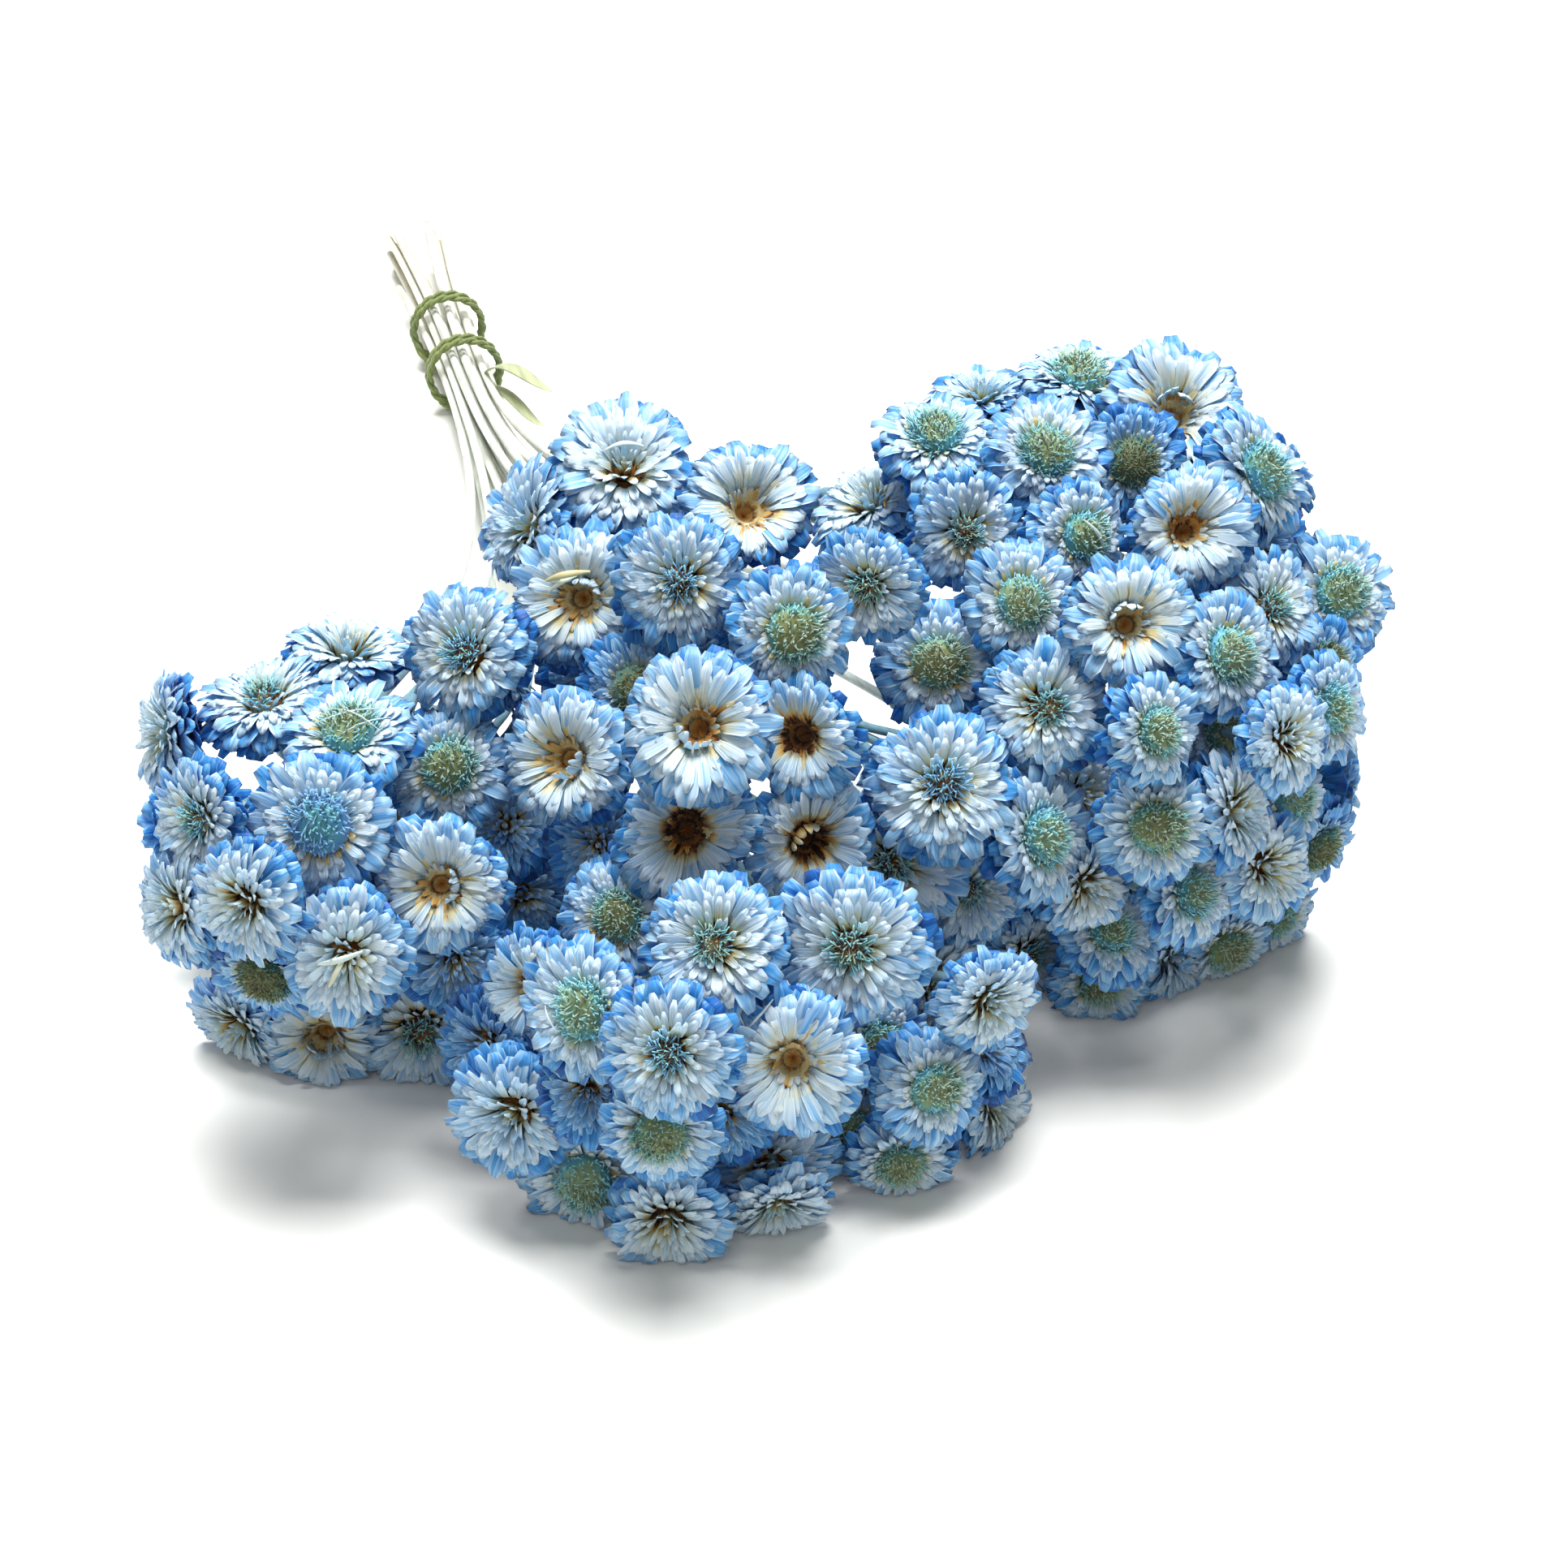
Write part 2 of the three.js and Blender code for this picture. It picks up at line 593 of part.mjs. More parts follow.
// A stem's own line: from its cut end to the twine, where the stems part in two towards their cut
// ends, then on a bend to its fork
const spread = { parted: 2.4, uneven: 5, alongBundle: 50, intoFork: 22 };
const straightShare = 0.36;
class StemLine extends THREE.Curve {
  constructor(cut, held, fork, toNeck, parting) {
    super();
    this.cut = cut;
    this.parting = parting;
    this.bend = new THREE.CubicBezierCurve3(
      held,
      held.clone().addScaledVector(along, spread.alongBundle),
      fork.clone().addScaledVector(toNeck, spread.intoFork),
      fork,
    );
  }

  getPoint(t, target = new THREE.Vector3()) {
    if (t >= straightShare) return this.bend.getPoint((t - straightShare) / (1 - straightShare), target);
    const left = 1 - t / straightShare;
    target.lerpVectors(this.bend.v0, this.cut, left);
    return target.addScaledVector(bundleSide, this.parting * left ** 2);
  }
}

// The outermost stem on the left is a stub that is cut short and stands off
const stub = { shorter: 22, parted: 3 };
const leftmost = [...sprays].sort((a, b) => a.slot.side - b.slot.side)[0];
const cutDraw = seeded(4711);
for (const spray of sprays) {
  const beside = (point) => point.clone()
    .addScaledVector(bundleSide, spray.slot.side)
    .addScaledVector(bundleUp, spray.slot.up);
  const side = spray.slot.side || spray.slot.up || -1;
  const shorter = spread.uneven * cutDraw() + (spray === leftmost ? stub.shorter : 0);
  const ownShare = 1 - shorter / bundle.held.distanceTo(bundle.cut);
  const parted = Math.sign(side) * spread.parted - (spray === leftmost ? stub.parted : 0);
  const parting = parted * ownShare ** 2;
  const cut = beside(bundle.cut.clone().addScaledVector(along, shorter));
  const held = beside(bundle.held);
  const toNeck = spray.fork.clone().sub(spray.hub).normalize();
  const paleEnd = spray.fork.clone().addScaledVector(toNeck, clearance);
  spray.paleLine = new StemLine(cut, held, paleEnd, toNeck, parting);
  spray.dyedLine = new THREE.LineCurve3(spray.fork, spray.hub);
}

// Two dry leaves on stems at the right of the bundle: from which place in it, where their tips are,
// how wide they are and how far they arch
const leafThick = 0.8;
const leafWidths = [0.35, 0.85, 1, 0.75, 0.15];
const leaves = [
  { slot: { side: 1.5, row: 1 }, from: 1, tip: new THREE.Vector3(-36, 384, 13), wide: 3, arch: 1.2 },
  { slot: { side: 2, row: 0 }, from: 2, tip: new THREE.Vector3(-36.9, 380.2, 9), wide: 2.2, arch: -0.8 },
];
for (const leaf of leaves) {
  leaf.spray = sprays.find((spray) => (
    spray.slot.side === leaf.slot.side * pitch && Math.round(spray.slot.up / rowStep) === leaf.slot.row));
  leaf.root = leaf.spray.paleLine.bend.v0.clone().addScaledVector(along, leaf.from);
}

// A stalk leaves the dyed stem along it and comes into its head from behind
function stalkCurve(item, order, count) {
  const share = stalk.rootFrom + (stalk.rootTo - stalk.rootFrom) * (order + 0.5) / count;
  const root = item.spray.dyedLine.getPoint(share);
  const way = item.spray.dyedLine.getTangent(share);
  const base = item.centre.clone().addScaledVector(item.axis, profile.base * item.size / 2);
  const bend = root.distanceTo(base) * stalk.bend;
  return new THREE.CubicBezierCurve3(
    root,
    root.clone().addScaledVector(way, bend),
    base.clone().addScaledVector(item.axis, -bend),
    base,
  );
}

// The farther a head is from the fork, the later its stalk leaves the stem
for (const spray of sprays) {
  spray.own = heads.filter((item) => item.spray === spray)
    .sort((a, b) => a.centre.distanceTo(spray.fork) - b.centre.distanceTo(spray.fork));
  spray.own.forEach((item, k) => { item.curve = stalkCurve(item, k, spray.own.length); });
}

// The part of a solid that hangs together, without loose scraps
const scrapVolume = 25;
function whole(solid, name) {
  const pieces = solid.decompose().sort((a, b) => b.volume() - a.volume());
  const lost = pieces.slice(1).reduce((sum, piece) => sum + piece.volume(), 0);
  if (lost > scrapVolume) console.warn(`${name}: ${lost.toFixed(1)} cubic mm came loose`);
  return pieces[0];
}

// The solids, the room that stalks and stems need, and the room that heads need. The table only
// cuts flat spots where the bunch rests on it.
const room = 2 * clearance;
const tableSize = { across: 600, along: 900, thick: 40 };
const table = solidOf(new THREE.BoxGeometry(tableSize.across, tableSize.along, tableSize.thick)
  .translate(0, tableSize.along / 3, -tableSize.thick / 2));
for (const spray of sprays) {
  const dyedTube = solidOf(tube(spray.dyedLine, dyed.diameter / 2, dyed.sides, dyed.steps));
  const blades = leaves.filter((leaf) => leaf.spray === spray).map(leafSolid);
  spray.pale = joined([solidOf(tube(spray.paleLine, stem.diameter / 2, stem.sides, stem.steps)), ...blades]);
  spray.crown = joined([dyedTube, ...spray.own.map((item) => headSolid(item, item.curve))]);
  const widened = (curve, size) => solidOf(tube(curve, size.diameter / 2 + room, size.sides, size.steps));
  spray.stalkRoom = joined([
    widened(spray.dyedLine, dyed),
    widened(spray.paleLine, stem),
    ...spray.own.map((item) => widened(item.curve, stalk)),
  ]);
  spray.headRoom = joined(spray.own.map((item) => headSolid(item, null, clearance)));
}

// Neighbours make room: heads leave a channel for others' stalks, and later heads yield to earlier ones
sprays.forEach((spray, k) => {
  const others = sprays.filter((other) => other !== spray);
  let crown = spray.crown.subtract(table);
  for (const other of others) crown = crown.subtract(other.stalkRoom);
  for (const other of sprays.slice(0, k)) crown = crown.subtract(other.headRoom.subtract(spray.stalkRoom));
  spray.trimmed = whole(crown, spray.name);
});

// The twine: wound round the bundle in two bands, with the step between them underneath
class Winding extends THREE.Curve {
  getPoint(t, target = new THREE.Vector3()) {
    const turn = t * twine.turns;
    const step = THREE.MathUtils.smoothstep(turn, twine.turns / 2 - 0.25, twine.turns / 2 + 0.25);
    const back = twine.lastBand + twine.apart * (1 - step) - twine.pitch * (turn - 1 - 2 * step);
    const radius = twine.rows * pitch + stem.diameter / 2 + clearance + twine.diameter / 2;
    const angle = (turn - 0.25) * 2 * Math.PI;
    return target.copy(bundle.held)
      .addScaledVector(along, -back)
      .addScaledVector(bundleSide, Math.cos(angle) * radius)
      .addScaledVector(bundleUp, Math.sin(angle) * radius);
  }
}

const bunch = new THREE.Group();

function addPiece(name, solid, color, roughness) {
  const material = new THREE.MeshStandardMaterial({ color, roughness, metalness: 0 });
  const piece = new THREE.Mesh(geometryOf(solid), material);
  piece.name = name;
  bunch.add(piece);
}

for (const spray of sprays) {
  addPiece(`${spray.name}_heads`, spray.trimmed, 0x8fb4e8, 0.7);
  addPiece(`${spray.name}_stem`, spray.pale.subtract(table), 0xd6ddd2, 0.85);
}
const twineSteps = Math.round(twine.turns * twine.stepsPerTurn);
const wound = solidOf(tube(new Winding(), twine.diameter / 2, twine.sides, twineSteps));
addPiece('twine', wound.subtract(table), 0x5f6f3c, 0.9);

// Stems along +Y, and the middle of the bunch over the origin
bunch.rotation.z = THREE.MathUtils.degToRad(placing.turn);
bunch.position.set(placing.x, placing.y, 0);

export default bunch;
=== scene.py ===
import math
from collections import namedtuple
from types import SimpleNamespace

import bmesh
import bpy
import numpy as np
from mathutils import Matrix, Vector


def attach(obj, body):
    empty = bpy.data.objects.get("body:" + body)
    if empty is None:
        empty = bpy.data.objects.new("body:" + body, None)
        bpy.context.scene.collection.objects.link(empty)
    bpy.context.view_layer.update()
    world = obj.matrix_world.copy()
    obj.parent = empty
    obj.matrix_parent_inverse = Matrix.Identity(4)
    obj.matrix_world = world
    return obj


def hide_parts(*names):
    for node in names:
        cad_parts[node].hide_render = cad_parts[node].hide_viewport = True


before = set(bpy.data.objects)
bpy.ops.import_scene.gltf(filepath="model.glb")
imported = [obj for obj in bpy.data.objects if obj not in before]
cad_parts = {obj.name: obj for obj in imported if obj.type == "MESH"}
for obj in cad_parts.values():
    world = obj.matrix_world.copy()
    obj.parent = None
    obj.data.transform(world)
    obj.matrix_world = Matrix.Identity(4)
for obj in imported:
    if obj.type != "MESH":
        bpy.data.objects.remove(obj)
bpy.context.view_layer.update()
print("frame loaded:", len(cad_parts), "nodes")

mm = 0.001
wholeTurn = 2 * math.pi

# Where the bunch is seen from. The heads are placed as in the CAD source: by their places in a square
# view of 1932 pixels, in millimetres from the point on the table under the eye.
sight = dict(focal=3400, middle=966, eyeHeight=207, tilt=math.radians(35))
placing = dict(turn=math.radians(-16), x=-73.9, y=-326.8)
toPart = (
    Matrix.Scale(mm, 4)
    @ Matrix.Translation((placing["x"], placing["y"], 0))
    @ Matrix.Rotation(placing["turn"], 4, "Z")
)

# Colours as they look, 0 to 255
paint = dict(
    ice=(240, 249, 248),
    frost=(172, 218, 241),
    sky=(76, 166, 227),
    cobalt=(26, 112, 198),
    navy=(12, 76, 152),
    ivory=(244, 240, 208),
    straw=(244, 214, 144),
    amber=(226, 150, 60),
    brown=(104, 54, 16),
    umber=(34, 16, 6),
    moss=(158, 160, 84),
    olive=(140, 172, 108),
    teal=(80, 184, 184),
    lagoon=(56, 166, 212),
    azure=(72, 152, 226),
    stalk=(92, 138, 158),
    dyed=(128, 168, 176),
    sage=(208, 219, 212),
    hay=(226, 221, 202),
    twine=(84, 112, 62),
    leaf=(176, 184, 142),
)


def colour(name):
    def linear(c):
        c = c / 255
        return c / 12.92 if c <= 0.04045 else ((c + 0.055) / 1.055) ** 2.4

    return tuple(linear(c) for c in paint[name]) + (1.0,)


# The camera at the photograph's viewing angle
lens = dict(sensor=36, nearest=0.01, furthest=20)


def addCamera():
    camera = bpy.data.cameras.new("photoView")
    camera.sensor_width = lens["sensor"]
    camera.lens = camera.sensor_width * sight["focal"] / (2 * sight["middle"])
    camera.clip_start = lens["nearest"]
    camera.clip_end = lens["furthest"]
    view = bpy.data.objects.new("photoView", camera)
    place = toPart @ Vector((0, 0, sight["eyeHeight"]))
    turn = Matrix.Rotation(placing["turn"], 4, "Z") @ Matrix.Rotation(math.pi / 2 - sight["tilt"], 4, "X")
    view.matrix_world = Matrix.Translation(place) @ turn
    bpy.context.scene.collection.objects.link(view)
    bpy.context.scene.camera = view


addCamera()

# What a head looks like: the kind of its heart, the hue of its florets from moss to azure, how light its
# florets or its throat are, how much warmer its petals are, and how much more deeply they are dyed
heart = namedtuple("heart", "kind hue light warm dye", defaults=(0.0, 0.0))
looks = dict(
    teal=heart("disc", 0.5, 0.85),
    olive=heart("disc", 0.36, 0.8, 0.1, 0.05),
    blue=heart("disc", 0.9, 0.9, -0.1),
    mintDisc=heart("disc", 0.5, 1.0, -0.1),
    # dark: darker florets and deeper dye, painted shade for heads that sit in the shade of others
    dark=heart("disc", 0.35, 0.3, 0.2, 0.32),
    grey=heart("disc", 0.46, 1.0, 0.1),
    goldThroat=heart("funnel", 0.0, 1.0, 0.8),
    brownThroat=heart("funnel", 0.0, 0.6, 0.2),
    darkThroat=heart("funnel", 0.0, 0.2, 0.9, 0.05),
    cream=heart("ragged", 0.2, 0.8, 0.15, -0.05),
    amber=heart("ragged", 0.2, 0.6, 0.5),
    pale=heart("ragged", 0.4, 0.9, -0.2, 0.08),
    # deep: painted shade, a dark, deeply dyed head that fills the shaded gaps deep in the masses
    deep=heart("ragged", 0.4, 0.3, 0.0, 0.42),
    faded=heart("ragged", 0.4, 0.6, 0.0, -0.3),
    mint=heart("tufted", 0.55, 1.0, -0.05),
    blueHeart=heart("tufted", 0.72, 0.9, 0.4, 0.03),
    tealHeart=heart("tufted", 0.55, 0.75, 0.15, 0.03),
)

# The masses that the heads gather in, as ellipsoids: their middles and half sizes
mass = namedtuple("mass", "centre half")
masses = dict(
    left=mass((-50, 250, 27), (24, 30, 21)),
    inner=mass((-32, 262, 28), (20, 26, 24)),
    middle=mass((-6, 268, 30), (34, 40, 31)),
    front=mass((-12, 244, 20), (27, 40, 22)),
    frontRight=mass((16, 240, 14), (14, 20, 12)),
    between=mass((18, 262, 24), (18, 24, 20)),
    right=mass((38, 280, 27), (33, 42, 34)),
)


# A head's reading: its place across and down the view, how wide it looks there, its looks, how far it
# faces right and up, and how deep it sits in its mass. A width below zero is a head that faces away.
def head(across, down, wide, look, right, up, behind=0, low=False):
    return SimpleNamespace(
        across=across, down=down, wide=wide, look=look, right=right, up=up,
        behind=behind, low=low, seen=True,
    )


def low(*reading):  # a head that lies on the table
    return (*reading, 0, True)


def sprayOf(name, mass, readings):
    return SimpleNamespace(name=name, mass=mass, heads=[head(*reading) for reading in readings])


sprays = [
    sprayOf("left_outer", "left", [
        (200, 900, 140, "cream", -0.85, 0.1), (325, 860, 150, "mint", -0.1, 0.75),
        (243, 1010, 138, "mint", -0.55, -0.15), (215, 1120, 128, "amber", -0.7, -0.1),
        (300, 1115, 138, "amber", -0.35, -0.3), (325, 1200, 90, "dark", -0.2, -0.6, 5),
    ]),
    sprayOf("left_top", "left", [
        (428, 800, 150, "cream", 0.1, 0.85), (430, 905, 150, "teal", 0.05, 0.65, 2),
        (395, 1015, 160, "blue", 0.12, 0), (485, 1010, 125, "dark", 0.3, 0.2, 10),
    ]),
    sprayOf("left_low", "left", [
        (540, 1092, 147, "goldThroat", 0, -0.05), (422, 1180, 150, "cream", -0.05, -0.3),
        (400, 1100, 130, "dark", 0, 0, 9), (560, 1180, 135, "deep", 0.1, -0.3, 9),
        low(295, 1268, 128, "amber", -0.45, -0.55), low(398, 1285, 140, "goldThroat", 0, -0.45),
        low(518, 1272, 155, "tealHeart", 0.05, -0.3),
    ]),
    sprayOf("inner_left", "inner", [
        (575, 805, 155, "blueHeart", -0.25, 0.1), (553, 945, 140, "olive", 0.05, 0.1),
        (690, 935, 155, "goldThroat", -0.35, 0), (640, 1100, 130, "deep", 0.2, 0, 9),
        (622, 1018, 125, "deep", 0, 0, 12),
    ]),
    sprayOf("middle_top", "middle", [
        (770, 575, 160, "cream", 0, 0.45), (645, 645, 150, "pale", -0.75, 0.25),
        (713, 735, 158, "goldThroat", -0.1, 0), (840, 715, 150, "blueHeart", 0.1, -0.05, 3),
        (735, 830, 130, "deep", 0, -0.3, 8),
    ]),
    sprayOf("middle_right", "middle", [
        (925, 620, 150, "goldThroat", 0.25, 0.35), (975, 780, 145, "olive", 0.2, -0.1),
        (1070, 725, 135, "tealHeart", -0.1, -0.3), (785, 850, 130, "dark", 0.1, 0, 10),
        (985, 910, 137, "darkThroat", -0.2, -0.2), (850, 815, 125, "deep", 0, 0, 9),
    ]),
    sprayOf("middle_front", "middle", [
        (860, 895, 165, "brownThroat", 0, 0.05), (845, 1028, 158, "darkThroat", 0, -0.15),
        (1000, 1040, 145, "darkThroat", 0.3, -0.25), (738, 1040, 125, "deep", 0, 0, 12),
    ]),
    sprayOf("front_left", "front", [
        (760, 1130, 132, "olive", -0.1, 0, 8), (718, 1248, 155, "teal", -0.3, 0.05),
        (655, 1220, 130, "darkThroat", -0.45, -0.3, 7), (630, 1375, 155, "pale", -0.35, -0.3),
        (595, 1290, 130, "deep", -0.5, -0.2, 9), (725, 1345, 120, "deep", 0, -0.2, 9),
    ]),
    sprayOf("front_middle", "front", [
        (1050, 1168, 170, "tealHeart", 0.05, -0.1), (880, 1165, 165, "mint", 0.02, 0.1),
        (825, 1300, 160, "blueHeart", -0.1, -0.15), (977, 1315, 160, "goldThroat", 0, -0.2),
        (1152, 1210, 138, "pale", 0.5, -0.25, 2), (1000, 1220, 120, "deep", 0, 0, 9),
    ]),
    sprayOf("front_low", "front", [
        low(720, 1450, 150, "grey", -0.1, -0.4), low(823, 1507, 150, "amber", 0, -0.5),
        (815, 1392, 130, "olive", 0, -0.4, 6), low(950, 1442, 145, "amber", 0.1, -0.45),
        low(960, 1490, 110, "faded", 0.1, -0.8), (890, 1372, 120, "deep", 0, -0.2, 9),
    ]),
    sprayOf("front_right", "frontRight", [
        (1080, 1282, 115, "teal", 0.3, -0.3, 3), low(1050, 1395, 120, "olive", 0.35, -0.3),
        (1148, 1342, 128, "teal", 0.35, -0.05), low(1225, 1357, 125, "cream", 0.75, 0),
        low(1110, 1430, 105, "olive", 0.2, -0.5), (1215, 1285, 115, "deep", 0.5, 0.3, 5),
        (1220, 1235, 100, "cream", 0.4, -0.3, 5),
    ]),
    sprayOf("between", "between", [
        (1197, 1100, 118, "tealHeart", 0.1, -0.3, 3), (1160, 965, 160, "blueHeart", 0, 0.15),
        (1103, 1062, 155, "tealHeart", 0.05, -0.1), (1328, 978, 110, "amber", 0.2, 0, 8),
    ]),
    sprayOf("right_top", "right", [
        (1070, 620, 135, "cream", -0.45, 0.6), (1158, 540, 145, "teal", -0.1, 0.68),
        (1292, 560, 140, "teal", 0, 0.4), (1190, 655, 133, "tealHeart", 0, -0.15),
    ]),
    sprayOf("right_back", "right", [
        (1210, 485, 120, "pale", -0.1, 0.85), (1332, 468, 138, "teal", 0.1, 0.78),
        (1447, 503, 153, "goldThroat", 0, 0.35), (1552, 585, 148, "teal", 0.6, 0.2),
        (1330, 662, 130, "teal", 0.55, 0), (1463, 652, 145, "brownThroat", 0.05, 0.05),
        (1395, 572, 120, "dark", 0, 0, 9), (1478, 728, 120, "deep", 0.1, 0, 9),
    ]),
    sprayOf("right_middle", "right", [
        (1258, 745, 133, "teal", 0, 0.05), (1393, 765, 152, "goldThroat", 0.1, 0.1),
        (1153, 818, 145, "olive", 0, 0.05), (1288, 872, 150, "tealHeart", 0, 0.05),
        (1422, 900, 135, "teal", 0.55, 0), (1510, 805, 138, "mintDisc", 0.5, 0.1),
        (1200, 895, 120, "deep", 0, 0, 10),
    ]),
    sprayOf("right_outer", "right", [
        (1568, 745, 130, "tealHeart", 0.5, 0.2, 3), (1645, 735, 135, "teal", 0.3, 0.15),
        (1630, 825, 115, "dark", 0.55, 0, 3), (1637, 872, 100, "teal", 0.7, -0.1),
        (1508, 900, 120, "olive", 0.4, -0.05, 3), (1588, 910, 118, "amber", 0.5, 0),
        (1640, 965, -115, "faded", 0.9, 0.1), (1590, 985, 110, "mintDisc", 0.6, 0),
        (1622, 1040, 90, "dark", 0.6, -0.5), (1548, 668, 120, "deep", 0.3, 0, 9),
    ]),
    sprayOf("right_low", "right", [
        (1525, 1000, 140, "cream", 0.8, 0), (1423, 1018, 135, "olive", 0.1, -0.2),
        (1465, 1098, 125, "teal", 0.6, 0), (1560, 1068, 118, "amber", 0.45, -0.2),
        low(1570, 1130, 105, "teal", 0.4, -0.45), low(1450, 1180, 115, "pale", 0.6, -0.2),
        low(1510, 1168, 90, "olive", 0.4, -0.5), (1394, 1088, 110, "deep", 0.2, -0.2, 10),
    ]),
    sprayOf("right_under", "right", [
        (1368, 1148, 112, "teal", 0.2, 0.4), low(1358, 1210, 110, "olive", 0.1, -0.4),
        (1342, 1090, 118, "amber", 0.4, -0.3), low(1268, 1180, 130, "tealHeart", 0.4, -0.35),
        (1282, 1030, 150, "mintDisc", 0.68, -0.05),
    ]),
]


# Seeded draws, the same as in the CAD source
drawing = dict(factor=16807, modulus=2147483647)
seeds = dict(seen=101, hidden=9001, step=37)


def seeded(seed):
    state = seed

    def draw():
        nonlocal state
        state = state * drawing["factor"] % drawing["modulus"]
        return state / drawing["modulus"]

    return draw


def vec(x, y, z):
    return np.array((x, y, z), float)


def unit(v):
    return v / np.linalg.norm(v)


def mix(a, b, share):
    return a + (b - a) * share


def inPart(point):
    return np.array(toPart @ Vector(point))


eye = vec(0, 0, sight["eyeHeight"])
eyeRight = vec(1, 0, 0)
eyeForward = vec(0, math.cos(sight["tilt"]), -math.sin(sight["tilt"]))
eyeUp = vec(0, math.sin(sight["tilt"]), math.cos(sight["tilt"]))
headSize = dict(least=10.8, most=15)
headBase = -0.72  # where the stalk meets the head, as a share of its radius
flatSpot = 0.45  # how far the edge of a low head is pressed flat
cadPetals = dict(near=6, deep=5, deepFrom=4)  # the CAD heads' petals, by how deep a head sits
cadRims = [  # the CAD head's rims: points for each petal, and how far out and how high they lie
    (2, ((1, -0.12), (0.78, 0.02))),
    (1, ((0.58, 0.06),) * 2),
    (2, ((0.55, 0.24), (0.78, 0.32))),
]
cadWear = 0.1  # how unlike its rims' points are
nearlyUpright = 0.9


def sightLine(across, down):
    right = (across - sight["middle"]) / sight["focal"]
    up = (sight["middle"] - down) / sight["focal"]
    return eyeForward + eyeRight * right + eyeUp * up


def depthOnMass(line, mass):
    half = vec(*mass.half)
    start = (eye - vec(*mass.centre)) / half
    along = line / half
    a, b = along @ along, start @ along
    inside = max(b * b - a * (start @ start - 1), 0)
    return (-b - math.sqrt(inside)) / a


def facing(reading):
    toEye = math.copysign(math.sqrt(max(1 - reading.right**2 - reading.up**2, 0)), reading.wide)
    return unit(eyeRight * reading.right + eyeUp * reading.up - eyeForward * toEye)


def acrossAxis(axis, turn):  # two directions across an axis
    aside = vec(0, 0, 1) if abs(axis[2]) < nearlyUpright else vec(1, 0, 0)
    first = unit(np.cross(axis, aside))
    first = first * math.cos(turn) + np.cross(axis, first) * math.sin(turn)
    return first, np.cross(axis, first)


def lowestReach(item):  # how far the CAD head's edge reaches below its middle
    draw = seeded(item.seed)
    first, second = acrossAxis(item.axis, draw() * math.pi)
    lowest = 0
    for each, shape in cadRims:
        count = each * item.petals
        for k in range(count):
            angle = k / count * wholeTurn
            out, rise = shape[k % 2]
            ragged = 1 + (draw() - 0.5) * cadWear
            flat = (first[2] * math.cos(angle) + second[2] * math.sin(angle)) * out * ragged
            lowest = min(lowest, (flat + item.axis[2] * rise) * item.size / 2)
    return -lowest


def place(item):
    size = abs(item.wide) * item.depth / sight["focal"]
    item.size = min(max(size, headSize["least"]), headSize["most"])
    item.centre = eye + item.line * item.depth


heads = []
for spray in sprays:
    for item in spray.heads:
        item.spray = spray
        item.seed = seeds["seen"] + len(heads) * seeds["step"]
        item.petals = cadPetals["deep" if item.behind > cadPetals["deepFrom"] else "near"]
        item.line = sightLine(item.across, item.down)
        item.axis = facing(item)
        item.depth = depthOnMass(item.line, masses[spray.mass]) + item.behind
        place(item)
        if item.low:
            item.depth = (sight["eyeHeight"] - lowestReach(item) + flatSpot) / -item.line[2]
            place(item)
        heads.append(item)

# Crowded heads give way to each other along their lines of sight
crowding = dict(rounds=60, spacing=0.9, apart=0.96, nearShare=0.35)
for _ in range(crowding["rounds"]):
    for k, a in enumerate(heads):
        for b in heads[k + 1:]:
            spacing = crowding["spacing"] if a.spray is b.spray else crowding["apart"]
            lack = spacing * (a.size + b.size) / 2 - math.dist(a.centre, b.centre)
            if lack <= 0:
                continue
            near, far = (a, b) if a.depth <= b.depth else (b, a)
            if not near.low:
                near.depth -= lack * crowding["nearShare"]
            if not far.low:
                far.depth += lack * (1 - crowding["nearShare"])
            place(near)
            place(far)

# The bundle's line, and the hub behind each spray's heads where its stalks part
bundle = SimpleNamespace(cut=vec(-66, 458.5, 5.15), held=vec(-50.6, 399, 6.35), neck=vec(-33, 350, 13))
hubAt = dict(behind=21, least=7, inward=0.35)
dyedEnd = dict(length=34, steps=7, sides=8, thick=0.9, thinner=0.3, tone=0.1)
for spray in sprays:
    middle = sum(item.centre for item in spray.heads) / len(spray.heads)
    inward = unit(-sum(item.axis for item in spray.heads))
    lean = unit(unit(bundle.neck - middle) + inward * hubAt["inward"])
    spray.hub = middle + lean * hubAt["behind"]
    spray.hub[2] = max(spray.hub[2], hubAt["least"])
    spray.toNeck = unit(bundle.neck - spray.hub)
    spray.fork = spray.hub + spray.toNeck * dyedEnd["length"]


def fromLine(spray, point):  # distance to the line from a hub to the neck
    way = bundle.neck - spray.hub
    share = min(max((point - spray.hub) @ way / (way @ way), 0), 1)
    return math.dist(point, spray.hub + way * share)


# Heads at the back and underneath, which the view hides
hidden = dict(
    tries=60, spacing=14.6, size=12.6, edge=0.6, edgePoints=8, deeper=6, narrowest=0.55, fromStem=8,
    stalkClear=4.5, alongStalk=(0.35, 0.5, 0.65, 0.8), lowest=7, looks=("amber", "teal", "goldThroat"),
)
goldenAngle = math.pi * (3 - math.sqrt(5))


def covered(point):  # whether a seen head's outline stands before a point
    start = point - eye
    depth = start @ eyeForward
    across = sight["middle"] + sight["focal"] * (start @ eyeRight) / depth
    down = sight["middle"] - sight["focal"] * (start @ eyeUp) / depth
    for item in heads:
        if not item.seen or item.depth + hidden["deeper"] > depth:
            continue
        sideways = math.hypot(item.right, item.up)
        right, up = across - item.across, item.down - down
        leaning = (right * item.right + up * item.up) / sideways if sideways else right
        level = (up * item.right - right * item.up) / sideways if sideways else up
        narrow = max(math.sqrt(max(1 - sideways**2, 0)), hidden["narrowest"])
        if math.hypot(leaning / narrow, level) < abs(item.wide) / 2:
            return True
    return False


